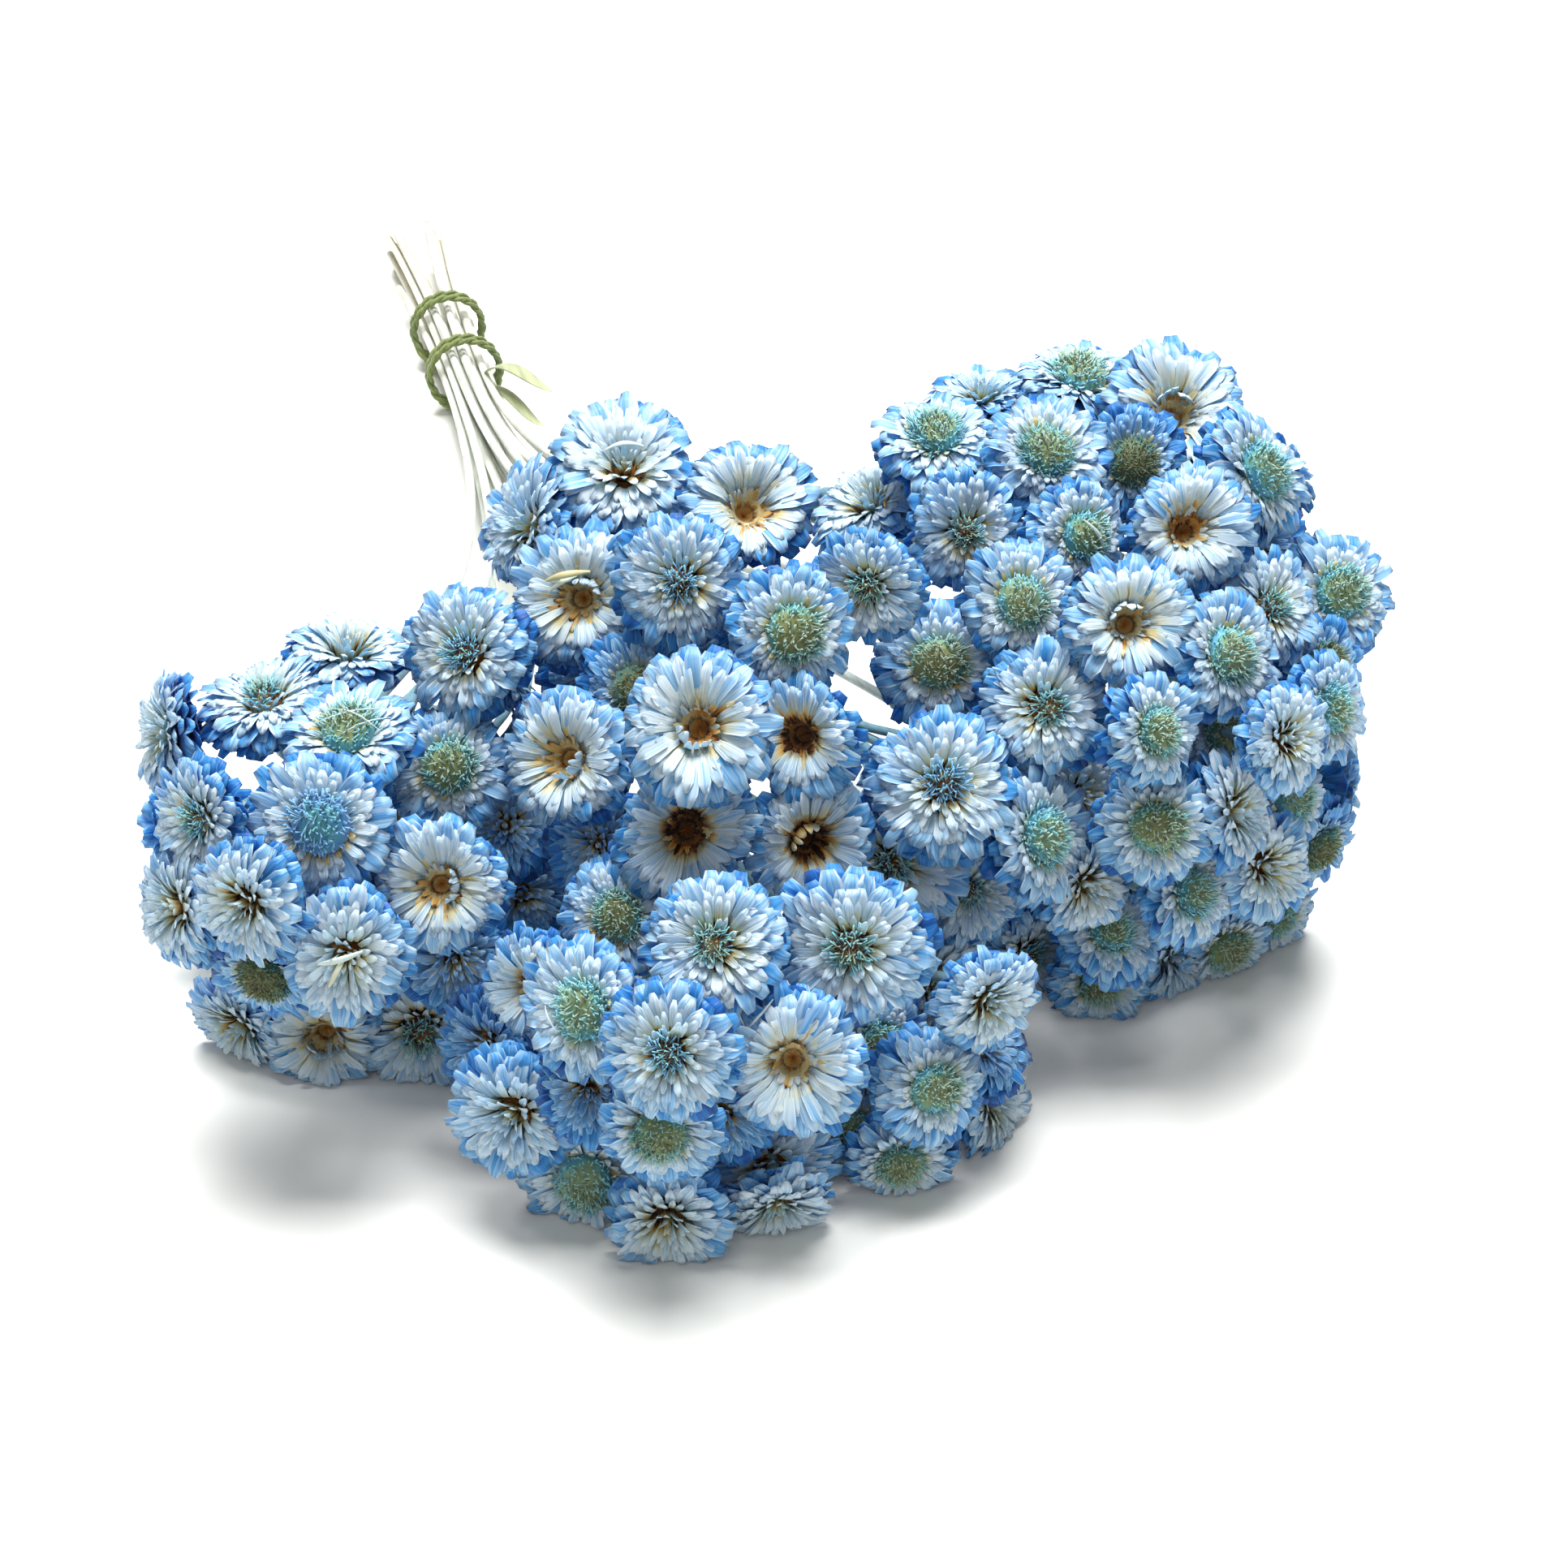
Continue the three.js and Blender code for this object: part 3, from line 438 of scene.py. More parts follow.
def hiddenFromView(centre):
    reach = hidden["edge"] * hidden["size"] / 2
    angles = [k / hidden["edgePoints"] * wholeTurn for k in range(hidden["edgePoints"])]
    edge = [centre + (eyeRight * math.cos(a) + eyeUp * math.sin(a)) * reach for a in angles]
    return covered(centre) and all(covered(point) for point in edge)


def clearOfStems(centre, near):
    for spray in sprays:
        if fromLine(spray, centre) <= hidden["fromStem"]:
            return False
        for share in hidden["alongStalk"]:
            point = mix(near.hub, centre, share)
            if spray is not near and fromLine(spray, point) <= hidden["stalkClear"]:
                return False
    return True


def fits(centre, near):
    free = all(math.dist(item.centre, centre) > hidden["spacing"] for item in heads)
    return centre[2] >= hidden["lowest"] and free and clearOfStems(centre, near) and hiddenFromView(centre)


for name, mass in masses.items():
    half = vec(*mass.half)
    for k in range(hidden["tries"]):
        rise = 1 - 2 * (k + 0.5) / hidden["tries"]
        level = math.sqrt(1 - rise * rise)
        out = vec(level * math.cos(goldenAngle * k), level * math.sin(goldenAngle * k), rise)
        centre = out * half + vec(*mass.centre)
        near = min((s for s in sprays if s.mass == name), key=lambda s: math.dist(s.hub, centre))
        if fits(centre, near):
            heads.append(SimpleNamespace(
                spray=near, across=None, down=None, seen=False, centre=centre, size=hidden["size"],
                axis=unit(out / half), look=hidden["looks"][k % len(hidden["looks"])],
                seed=seeds["hidden"] + len(heads) * seeds["step"],
            ))
print("heads placed:", len(heads))

# Places for the stems in the bundle, in rows of three, four, five, four and three, and who takes which
stem = dict(diameter=1.4, gap=0.35, rows=5)
pitch = stem["diameter"] + stem["gap"]
rowStep = pitch * math.sqrt(3) / 2
middleRow = stem["rows"] // 2
slots = []
for row in range(-middleRow, middleRow + 1):
    count = stem["rows"] - abs(row)
    for k in range(count):
        slots.append(SimpleNamespace(side=(k - (count - 1) / 2) * pitch, up=row * rowStep))
along = unit(bundle.held - bundle.cut)
bundleSide = unit(np.cross(vec(0, 0, 1), along))
bundleUp = np.cross(along, bundleSide)
fan = dict(middleSide=-0.12, middleUp=0.1, side=8.6, up=16)


def misfit(spray, slot):
    way = unit(spray.fork - bundle.neck)
    side = (way @ bundleSide - fan["middleSide"]) * fan["side"]
    up = (way @ bundleUp - fan["middleUp"]) * fan["up"]
    return (slot.side - side) ** 2 + (slot.up - up) ** 2


for spray, slot in zip(sprays, slots):
    spray.slot = slot
swapped = True
while swapped:
    swapped = False
    for k, a in enumerate(sprays):
        for b in sprays[k + 1:]:
            if misfit(a, b.slot) + misfit(b, a.slot) < misfit(a, a.slot) + misfit(b, b.slot) - 1e-9:
                a.slot, b.slot = b.slot, a.slot
                swapped = True


def bezier(a, b, c, d, t):
    s = 1 - t
    return a * s**3 + b * 3 * s * s * t + c * 3 * s * t * t + d * t**3


# The stems part in two towards their cut ends, and the outermost one on the left is a short stub
spread = dict(parted=2.4, uneven=5, alongBundle=50, intoFork=22, straightShare=0.36, seed=4711)
stub = dict(shorter=22, parted=3)
leftmost = min(sprays, key=lambda spray: spray.slot.side)
cutDraw = seeded(spread["seed"])
for spray in sprays:
    slotPlace = bundleSide * spray.slot.side + bundleUp * spray.slot.up
    isStub = spray is leftmost
    shorter = spread["uneven"] * cutDraw() + (stub["shorter"] if isStub else 0)
    ownShare = 1 - shorter / math.dist(bundle.held, bundle.cut)
    sign = math.copysign(1, spray.slot.side or spray.slot.up or -1)
    spray.parting = (sign * spread["parted"] - (stub["parted"] if isStub else 0)) * ownShare**2
    spray.cut = bundle.cut + along * shorter + slotPlace
    spray.held = bundle.held + slotPlace


def stemPoint(spray, t):
    share = spread["straightShare"]
    if t < share:
        left = 1 - t / share
        return spray.held + (spray.cut - spray.held) * left + bundleSide * spray.parting * left**2
    ahead = spray.held + along * spread["alongBundle"]
    beyond = spray.fork + spray.toNeck * spread["intoFork"]
    return bezier(spray.held, ahead, beyond, spray.fork, (t - share) / (1 - share))


stalk = dict(
    diameter=1.15, rootFrom=0.25, rootTo=0.95, bend=0.36, steps=9, sides=6, swell=0.35, tones=(0.2, 0.5),
)
for spray in sprays:
    own = (item for item in heads if item.spray is spray)
    spray.own = sorted(own, key=lambda item: math.dist(item.centre, spray.fork))
    for order, item in enumerate(spray.own):
        share = stalk["rootFrom"] + (stalk["rootTo"] - stalk["rootFrom"]) * (order + 0.5) / len(spray.own)
        root = mix(spray.fork, spray.hub, share)
        base = item.centre + item.axis * headBase * item.size / 2
        bend = math.dist(root, base) * stalk["bend"]
        item.route = (root, root - spray.toNeck * bend, base - item.axis * bend, base)


def asMesh(bm, name):
    mesh = bpy.data.meshes.new(name)
    bm.to_mesh(mesh)
    bm.free()
    return mesh


# Every shape carries its tones in the layer petal, and its places across a petal in the map petalMap
def startShape():
    bm = bmesh.new()
    tones = bm.verts.layers.float_color.new("petal")
    bm.loops.layers.uv.new("petalMap")
    return bm, tones


# A petal starts as a four-sided rod with four rings, which each row then bends and widens
petalStations = (0, 0.42, 0.8, 1)


def makeRod():
    bm = bmesh.new()
    rodMap = bm.loops.layers.uv.new("petalMap")
    bmesh.ops.create_cone(
        bm, cap_ends=True, cap_tris=False, segments=4, radius1=1, radius2=1, depth=1,
        matrix=Matrix.Translation((0, 0, 0.5)),
    )
    upright = [e for e in bm.edges if abs(e.verts[0].co.z - e.verts[1].co.z) > 0.5]
    bmesh.ops.subdivide_edges(bm, edges=upright, cuts=len(petalStations) - 2)
    for face in bm.faces:
        face.smooth = True
        for loop in face.loops:
            loop[rodMap].uv = (loop.vert.co.x / 2 + 0.5, loop.vert.co.z)
    for edge in bm.edges:  # only the rims stay sharp
        one, other = edge.verts
        onMiddle = abs(one.co.x) < 0.5 and abs(other.co.x) < 0.5
        edge.smooth = onMiddle or abs(one.co.x - other.co.x) > 0.5
    return asMesh(bm, "petalRod")


petalRod = makeRod()
outlines = dict(
    bract=(0.5, 0.96, 1.04, 0.6),
    ray=(0.5, 0.78, 1.0, 0.46),
    sliver=(0.6, 1.0, 0.85, 0.3),
)

# Rows of bracts and petals from the stalk up, for a head of radius 1: how many, where they start,
# how long and wide, how they lean above level at root and tip in degrees, how deeply dyed there from
# white to deep blue, how warm there from ivory to brown, and how much of the way round they go
row = namedtuple("row", "count out up long wide lean dye warm outline arc", defaults=("ray", 1.0))
underRows = [
    row(10, 0.12, -0.68, 0.5, 0.34, (30, 62), (0.85, 0.84), (0, 0), "bract"),
    row(14, 0.16, -0.62, 0.8, 0.36, (34, 22), (0.88, 0.82), (0, 0), "bract"),
    row(18, 0.2, -0.52, 0.92, 0.36, (40, -10), (0.9, 0.74), (0, 0), "bract"),
    row(21, 0.25, -0.42, 0.92, 0.33, (50, -26), (0.9, 0.54), (0, 0), "bract"),
    row(22, 0.28, -0.34, 0.9, 0.31, (58, -32), (0.76, 0.4), (0, 0), "bract"),
    row(23, 0.3, -0.27, 0.86, 0.27, (62, -26), (0.42, 0.25), (0, 0), "bract"),
]
upperRows = dict(
    disc=[
        row(26, 0.33, -0.2, 0.68, 0.19, (66, -20), (0.16, 0.12), (0.2, 0)),
        row(26, 0.35, -0.15, 0.58, 0.15, (72, -12), (0.08, 0.05), (0.4, 0)),
        row(24, 0.37, -0.11, 0.46, 0.12, (78, 0), (0.05, 0.04), (0.6, 0.03)),
        row(18, 0.39, -0.07, 0.32, 0.09, (84, 20), (0.05, 0.04), (0.8, 0.2)),
    ],
    funnel=[
        row(26, 0.32, -0.2, 0.72, 0.19, (66, -24), (0.16, 0.1), (0.15, 0)),
        row(27, 0.3, -0.19, 0.66, 0.16, (68, -20), (0.08, 0.04), (0.3, 0)),
        row(27, 0.28, -0.2, 0.58, 0.13, (52, 0), (0.05, 0.03), (0.6, 0.04)),
        row(24, 0.22, -0.28, 0.5, 0.11, (56, 14), (0, 0.02), (0.9, 0.14), "sliver"),
        row(20, 0.14, -0.4, 0.4, 0.1, (58, 48), (0, 0), (1.15, 0.5), "sliver"),
        row(6, 0.29, -0.17, 0.32, 0.12, (72, 134), (0.05, 0.05), (0.3, 0.05), "sliver", 0.34),
    ],
    ragged=[
        row(26, 0.32, -0.2, 0.7, 0.19, (66, -22), (0.16, 0.1), (0.15, 0)),
        row(25, 0.3, -0.18, 0.62, 0.16, (73, -10), (0.08, 0.04), (0.3, 0)),
        row(21, 0.25, -0.16, 0.56, 0.13, (81, 8), (0.05, 0.03), (0.5, 0.03)),
        row(14, 0.17, -0.14, 0.5, 0.13, (87, 36), (0, 0.04), (0.55, 0.03), "sliver"),
        row(9, 0.09, -0.14, 0.48, 0.11, (92, 64), (0, 0.05), (0.75, 0.04), "sliver"),
        row(5, 0.06, -0.12, 0.36, 0.1, (86, 130), (0, 0), (0.9, 0.1), "sliver"),
    ],
    tufted=[
        row(26, 0.32, -0.2, 0.7, 0.19, (66, -22), (0.16, 0.1), (0.15, 0)),
        row(25, 0.3, -0.18, 0.63, 0.16, (72, -12), (0.08, 0.04), (0.3, 0)),
        row(22, 0.27, -0.16, 0.54, 0.12, (78, 6), (0.05, 0.03), (0.6, 0.03)),
        row(14, 0.22, -0.14, 0.42, 0.12, (84, 34), (0, 0.03), (0.6, 0.05), "sliver"),
    ],
)
uneven = dict(  # how far the petals of a row differ
    angle=0.34, long=0.13, wide=0.2, rootLean=9, tipLean=20, twist=0.4, cup=0.5, cups=(-0.5, 0.9),
    warm=(0.25, 1.35),
)
petalThick = 0.01
warmFades = 1.6  # the warm root colour gives way before the tip

# The closed body inside the petals, as distance out and height, and how far its upper side goes
cup = [(0, -0.74), (0.12, -0.72), (0.3, -0.46)]
hearts = dict(
    disc=cup + [(0.4, -0.2), (0.46, 0.02), (0.42, 0.17), (0.26, 0.28), (0, 0.32)],
    funnel=cup + [(0.29, -0.24), (0.22, -0.24), (0.14, -0.42), (0, -0.5)],
    ragged=cup + [(0.32, -0.22), (0.2, -0.14), (0, -0.12)],
    tufted=cup + [(0.32, -0.22), (0.22, -0.08), (0.12, 0.04), (0, 0.08)],
)
heartTop = dict(above=-0.55, disc=0.38, funnel=0.295, ragged=0.38, tufted=0.38)
heartTones = dict(top=(0.0, 1.0), under=(0.95, 0.0), tipward=0.3)
heartSteps = 14

# Florets: how many, the dome they stand on, how long and wide they are and how wildly they lean
tufts = dict(
    disc=dict(count=270, middle=(0, 0, -0.02), radius=0.42, rise=0.36, long=0.2, wide=0.017, wild=1.2),
    tufted=dict(count=100, middle=(0, 0, 0.02), radius=0.2, rise=0.12, long=0.24, wide=0.014, wild=1.3),
)
floret = dict(foot=0.6, sunk=0.2, shift=0.09, angle=0.3, dome=math.radians(86), long=(0.6, 1.4))
petalSlot, floretSlot, stalkSlot = 0, 1, 2


def addPetal(bm, layer, row, angle, draw):
    start = len(bm.verts)
    bm.from_mesh(petalRod)
    bm.verts.ensure_lookup_table()
    long = row.long * (1 + draw.uniform(-uneven["long"], uneven["long"]))
    half = row.wide / 2 * (1 + draw.uniform(-uneven["wide"], uneven["wide"]))
    rootLean = math.radians(row.lean[0] + draw.uniform(-1, 1) * uneven["rootLean"])
    tipLean = math.radians(row.lean[1] + draw.uniform(-1, 1) * uneven["tipLean"])
    twist = draw.uniform(-1, 1) * uneven["twist"]
    cupped = draw.uniform(*uneven["cups"]) * uneven["cup"]
    warmth = draw.uniform(*uneven["warm"])
    mark = draw.random()
    outline = outlines[row.outline]
    centres, lifts = [], []
    out, up, before = row.out, row.up, 0
    for t in petalStations:
        lean = mix(rootLean, tipLean, t)
        middle = rootLean + (tipLean - rootLean) * (t + before) / 2
        out += math.cos(middle) * long * (t - before)
        up += math.sin(middle) * long * (t - before)
        centres.append((out, up))
        lifts.append((-math.sin(lean), math.cos(lean)))
        before = t
    turned = Matrix.Rotation(angle, 3, "Z")
    for v in bm.verts[start:]:
        k = round(v.co.z * (len(petalStations) - 1))
        t = petalStations[k]
        across = v.co.x * half * outline[k]
        lift = v.co.y * petalThick + abs(v.co.x) * cupped * half * outline[k] + across * twist * t
        (out, up), (liftOut, liftUp) = centres[k], lifts[k]
        v.co = turned @ Vector((out + liftOut * lift, across, up + liftUp * lift))
        warm = mix(*row.warm, min(t * warmFades, 1)) * warmth
        v[layer] = (mix(*row.dye, t), warm, mark, t)


def makeFloret():
    bm = bmesh.new()
    bmesh.ops.create_cone(
        bm, cap_ends=True, cap_tris=True, segments=3, radius1=floret["foot"], radius2=1, depth=1,
        matrix=Matrix.Translation((0, 0, 0.5 - floret["sunk"])),
    )
    for face in bm.faces:
        face.smooth = True
        face.material_index = floretSlot
    return asMesh(bm, "floret")


floretRod = makeFloret()


def addFlorets(bm, layer, tuft, draw):
    shift, wild = floret["shift"], tuft["wild"]
    middle = Vector(tuft["middle"]) + Vector((draw.uniform(-shift, shift), draw.uniform(-shift, shift), 0))
    for k in range(tuft["count"]):
        share = math.sqrt((k + 0.5) / tuft["count"])
        angle = k * goldenAngle + draw.uniform(-floret["angle"], floret["angle"])
        polar = share * floret["dome"]
        level = math.sin(polar)
        way = Vector((math.cos(angle) * level, math.sin(angle) * level, math.cos(polar)))
        foot = middle + Vector((way.x * tuft["radius"], way.y * tuft["radius"], way.z * tuft["rise"]))
        astray = Vector((draw.uniform(-wild, wild), draw.uniform(-wild, wild), draw.uniform(0, wild)))
        way = (way + astray).normalized()
        long = tuft["long"] * draw.uniform(*floret["long"])
        turn = way.to_track_quat("Z", "Y").to_matrix()
        mark = draw.random()
        start = len(bm.verts)
        bm.from_mesh(floretRod)
        bm.verts.ensure_lookup_table()
        for v in bm.verts[start:]:
            tip = 1.0 if v.co.z > 0 else 0.0
            v.co = foot + turn @ Vector((v.co.x * tuft["wide"], v.co.y * tuft["wide"], v.co.z * long))
            v[layer] = (share, tip, mark, tip)


def makeHeart(kind, draw):
    bm, layer = startShape()
    points = [bm.verts.new((out, 0, up)) for out, up in hearts[kind]]
    edges = [bm.edges.new(pair) for pair in zip(points, points[1:])]
    bmesh.ops.spin(
        bm, geom=points + edges, cent=(0, 0, 0), axis=(0, 0, 1), angle=wholeTurn, steps=heartSteps,
        use_merge=True,
    )
    bmesh.ops.remove_doubles(bm, verts=bm.verts, dist=1e-5)
    bmesh.ops.recalc_face_normals(bm, faces=bm.faces)
    for v in bm.verts:
        onTop = v.co.z > heartTop["above"] and math.hypot(v.co.x, v.co.y) < heartTop[kind]
        v[layer] = (*heartTones["top" if onTop else "under"], draw.random(), heartTones["tipward"])
    for face in bm.faces:
        face.smooth = True
        inTuft = kind == "disc" and face.calc_center_median().z > 0.0
        face.material_index = floretSlot if inTuft else petalSlot
    return asMesh(bm, f"{kind}Heart")


def makeHead(kind, seed, crossed):
    draw = np.random.RandomState(seed)
    bm, layer = startShape()
    bm.from_mesh(makeHeart(kind, draw))
    for row in underRows + upperRows[kind]:
        turn = draw.random() * wholeTurn
        if row.arc < 1 and not crossed:
            continue
        for k in range(row.count):
            share = (k + draw.uniform(-1, 1) * uneven["angle"]) / row.count * row.arc
            addPetal(bm, layer, row, turn + share * wholeTurn, draw)
    if kind in tufts:
        addFlorets(bm, layer, tufts[kind], draw)
    return asMesh(bm, f"{kind}Head")


def triangles(mesh):
    return sum(len(face.vertices) - 2 for face in mesh.polygons)


# Four heads of each kind, of which every second one has petals that cross its heart
variety = dict(count=4, seed=300, step=10)
variants = {}
for k, kind in enumerate(upperRows):
    firstSeed = variety["seed"] + variety["step"] * k
    variants[kind] = [makeHead(kind, firstSeed + n, n % 2 == 1) for n in range(variety["count"])]
    print("head", kind, "triangles", [triangles(mesh) for mesh in variants[kind]])

resting = dict(skin=1.6 * mm, least=0.05 * mm)


def settle(points):  # what would lie under the table bends up to lie on it
    low = points[:, 2] < resting["skin"]
    deep = points[low, 2] / resting["skin"] - 1
    points[low, 2] = np.maximum(resting["skin"] * np.exp(deep), resting["least"])


# How far heads of one kind differ, how throats and florets are toned, and how far a dye keeps to the roots
wander = dict(grown=1.04, bend=0.07, waves=2.6, phase=6.3, squash=0.06, warm=0.55, hue=0.07)
throatTones = dict(wide=0.34, darker=0.3, paler=0.85, middle=0.16)
# Floret feet are toned darker than their tips: painted shade inside the tuft
floretTones = dict(plainAt=0.7, rimward=0.44, foot=0.25, tip=0.95)
rootDye = 0.3


def addHead(bm, item):
    look = looks[item.look]
    draw = np.random.RandomState(item.seed)
    mesh = variants[look.kind][draw.randint(variety["count"])].copy()
    count = len(mesh.vertices)
    points = np.empty(count * 3, np.float32)
    mesh.vertices.foreach_get("co", points)
    points = points.reshape(-1, 3).astype(float)
    waves = draw.uniform(-wander["waves"], wander["waves"], (3, 3))
    phases = draw.uniform(0, wander["phase"], 3)
    reach = np.minimum(np.linalg.norm(points[:, :2], axis=1), 1.0)[:, None]
    points += wander["bend"] * reach * np.sin(points @ waves + phases)
    points[:, :2] *= 1 + draw.uniform(-wander["squash"], wander["squash"], 2)
    tones = np.empty(count * 4, np.float32)
    attribute = mesh.attributes["petal"].data
    attribute.foreach_get("color", tones)
    tones = tones.reshape(-1, 4)
    florets = np.zeros(count, bool)
    for face in mesh.polygons:
        if face.material_index == floretSlot:
            florets[list(face.vertices)] = True
    petals = ~florets
    dye = look.dye * (1 - rootDye * tones[petals, 3])
    tones[petals, 0] = np.clip(tones[petals, 0] + dye, 0, 1)
    side = np.cos(np.arctan2(points[:, 1], points[:, 0]) - draw.uniform(0, wander["phase"]))
    warmer = 1 + look.warm + wander["warm"] * side  # one side of a head is warmer
    tones[petals, 1] = np.clip(tones[petals, 1] * warmer[petals], 0, 1)
    if look.kind == "funnel":
        fromMiddle = np.hypot(points[:, 0], points[:, 1])
        throat = petals & (fromMiddle < throatTones["wide"])
        outward = np.minimum(fromMiddle[throat] / throatTones["middle"], 1)
        paler = look.light * throatTones["paler"] * outward
        tones[throat, 1] = np.clip(tones[throat, 1] + throatTones["darker"] - paler, 0, 1)
    hue = look.hue + (tones[florets, 0] - floretTones["plainAt"]) * floretTones["rimward"]
    tones[florets, 0] = np.clip(hue + draw.uniform(-wander["hue"], wander["hue"]), 0, 1)
    light = floretTones["foot"] + floretTones["tip"] * tones[florets, 3]
    tones[florets, 3] = np.clip(look.light * light, 0, 1)
    attribute.foreach_set("color", tones.ravel())
    first, second = acrossAxis(item.axis, draw.random_sample() * wholeTurn)
    turn = np.stack((first, second, item.axis), axis=1)
    points = points * (wander["grown"] * item.size / 2) @ turn.T + item.centre
    placed = np.array(toPart)
    points = points @ placed[:3, :3].T + placed[:3, 3]
    settle(points)
    mesh.vertices.foreach_set("co", points.astype(np.float32).ravel())
    bm.from_mesh(mesh)
    bpy.data.meshes.remove(mesh)


# A tube whose rings' middles, radii and tones come from ringAt, for each share of the way along it
def addTube(bm, shape, ringAt, slotIndex, side=(0.3, 0.2, 1), flat=1.0, rests=False):
    tube, layer = startShape()
    middles, radii, tones = zip(*(ringAt(t) for t in np.linspace(0, 1, shape["steps"])))
    points = np.array([inPart(middle) for middle in middles])
    if rests:
        settle(points)
    places = []
    side = Vector(side)
    for k, point in enumerate(points):
        ahead = points[min(k + 1, len(points) - 1)] - points[max(k - 1, 0)]
        way = Vector(ahead).normalized()
        side = (side - way * side.dot(way)).normalized()
        turn = Matrix((side, way.cross(side), way)).transposed().to_4x4()
        size = Matrix.Diagonal((radii[k], radii[k] * flat, 1, 1))
        places.append(Matrix.Translation(Vector(point)) @ turn @ size)
    ring = bmesh.ops.create_circle(tube, cap_ends=True, segments=shape["sides"], radius=1)["verts"]
    for k, v in enumerate(ring):
        v.co *= 1 - shape.get("ribs", 0) * (k % 2)
        v[layer] = tones[0]
    bmesh.ops.transform(tube, matrix=places[0], verts=ring)
    edges = tube.edges[:]
    for k in range(1, len(places)):
        made = bmesh.ops.extrude_edge_only(tube, edges=edges)["geom"]
        ring = [g for g in made if isinstance(g, bmesh.types.BMVert)]
        new = set(ring)
        edges = [g for g in made if isinstance(g, bmesh.types.BMEdge) and set(g.verts) <= new]
        bmesh.ops.transform(tube, matrix=places[k] @ places[k - 1].inverted(), verts=ring)
        for v in ring:
            v[layer] = tones[k]
    bmesh.ops.contextual_create(tube, geom=edges)
    bmesh.ops.recalc_face_normals(tube, faces=tube.faces)
    for face in tube.faces:
        face.material_index = slotIndex
        face.smooth = len(face.verts) == 4
    mesh = asMesh(tube, "tube")
    bm.from_mesh(mesh)
    bpy.data.meshes.remove(mesh)


def finishPiece(bm, name, materials, slotName, *nodes):
    mesh = asMesh(bm, name)
    piece = bpy.data.objects.new(name, mesh)
    bpy.context.scene.collection.objects.link(piece)
    for material in materials:
        mesh.materials.append(material)
    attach(piece, "root")
    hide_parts(*nodes)
    print(name, "triangles", triangles(mesh))


# Shader helpers: what feeds a socket is a number, a colour or another node's socket
def addNode(tree, kind, **settings):
    node = tree.nodes.new(kind)
    for key, value in settings.items():
        setattr(node, key, value)
    return node


def feed(tree, node, **values):
    for name, value in values.items():
        socket = node.inputs[name.replace("_", " ")]
        if isinstance(value, bpy.types.NodeSocket):
            tree.links.new(value, socket)
        else:
            socket.default_value = value


def startMaterial(name):
    material = bpy.data.materials.new(name)
    material.use_nodes = True
    material.node_tree.nodes.clear()
    return material, material.node_tree


def endMaterial(tree, shader):
    feed(tree, addNode(tree, "ShaderNodeOutputMaterial"), Surface=shader)


def mathNode(tree, operation, first, second=None, clamp=False):
    node = addNode(tree, "ShaderNodeMath", operation=operation, use_clamp=clamp)
    for socket, value in zip(node.inputs, (first, second)):
        if isinstance(value, bpy.types.NodeSocket):
            tree.links.new(value, socket)
        elif value is not None:
            socket.default_value = value
    return node.outputs[0]


def aroundZero(tree, value, amount):  # a mask from 0 to 1, as a shift to either side
    return mathNode(tree, "MULTIPLY", mathNode(tree, "SUBTRACT", value, 0.5), amount)


def mixColours(tree, factor, first, second, blend="MIX"):
    node = addNode(tree, "ShaderNodeMix", data_type="RGBA", blend_type=blend)
    feed(tree, node, Factor=factor, A=first, B=second)
    return node.outputs["Result"]


def mapRange(tree, value, **limits):
    node = addNode(tree, "ShaderNodeMapRange")
    feed(tree, node, Value=value, **limits)
    return node.outputs["Result"]


def ramp(tree, factor, **stops):
    node = addNode(tree, "ShaderNodeValToRGB")
    elements = node.color_ramp.elements
    while len(elements) < len(stops):
        elements.new(0.5)
    for element, (name, place) in zip(elements, stops.items()):
        element.position = place
        element.color = colour(name)
    feed(tree, node, Fac=factor)
    return node.outputs["Color"]


# What a shape's points carry: how dyed or what hue, how warm, a mark of each petal's own, and how near the
# tip or how light
def petalTones(tree):
    tone = addNode(tree, "ShaderNodeAttribute", attribute_name="petal")
    parts = addNode(tree, "ShaderNodeSeparateColor")
    feed(tree, parts, Color=tone.outputs["Color"])
    return parts.outputs["Red"], parts.outputs["Green"], parts.outputs["Blue"], tone.outputs["Alpha"]


def bumpFrom(tree, height, strength, deep):
    bump = addNode(tree, "ShaderNodeBump")
    feed(tree, bump, Height=height, Strength=strength, Distance=deep * mm)
    return bump.outputs["Normal"]


def principled(tree, body, normal, **finish):
    shader = addNode(tree, "ShaderNodeBsdfPrincipled")
    feed(tree, shader, Base_Color=body, Normal=normal, **finish)
    return shader.outputs["BSDF"]


# Fine streaks along a dry fibre and a slow mottle over it
def makeDryFibre():
    group = bpy.data.node_groups.new("dryFibre", "ShaderNodeTree")
    group.interface.new_socket("Vector", in_out="INPUT", socket_type="NodeSocketVector")
    for name in ("Streaks", "Patches"):
        group.interface.new_socket(name, in_out="INPUT", socket_type="NodeSocketFloat")
    for name in ("Streak", "Mottle"):
        group.interface.new_socket(name, in_out="OUTPUT", socket_type="NodeSocketFloat")
    inward = addNode(group, "NodeGroupInput").outputs
    outward = addNode(group, "NodeGroupOutput")
    for name, scale, detail in (("Streak", "Streaks", 3), ("Mottle", "Patches", 2)):
        noise = addNode(group, "ShaderNodeTexNoise", noise_dimensions="3D")
        feed(group, noise, Vector=inward["Vector"], Scale=inward[scale], Detail=detail)
        feed(group, outward, **{name: noise.outputs["Fac"]})
    return group


dryFibre = makeDryFibre()


def fibreOn(tree, vector, streaks, patches):
    fibre = addNode(tree, "ShaderNodeGroup", node_tree=dryFibre)
    feed(tree, fibre, Vector=vector, Streaks=streaks, Patches=patches)
    return fibre.outputs["Streak"], fibre.outputs["Mottle"]


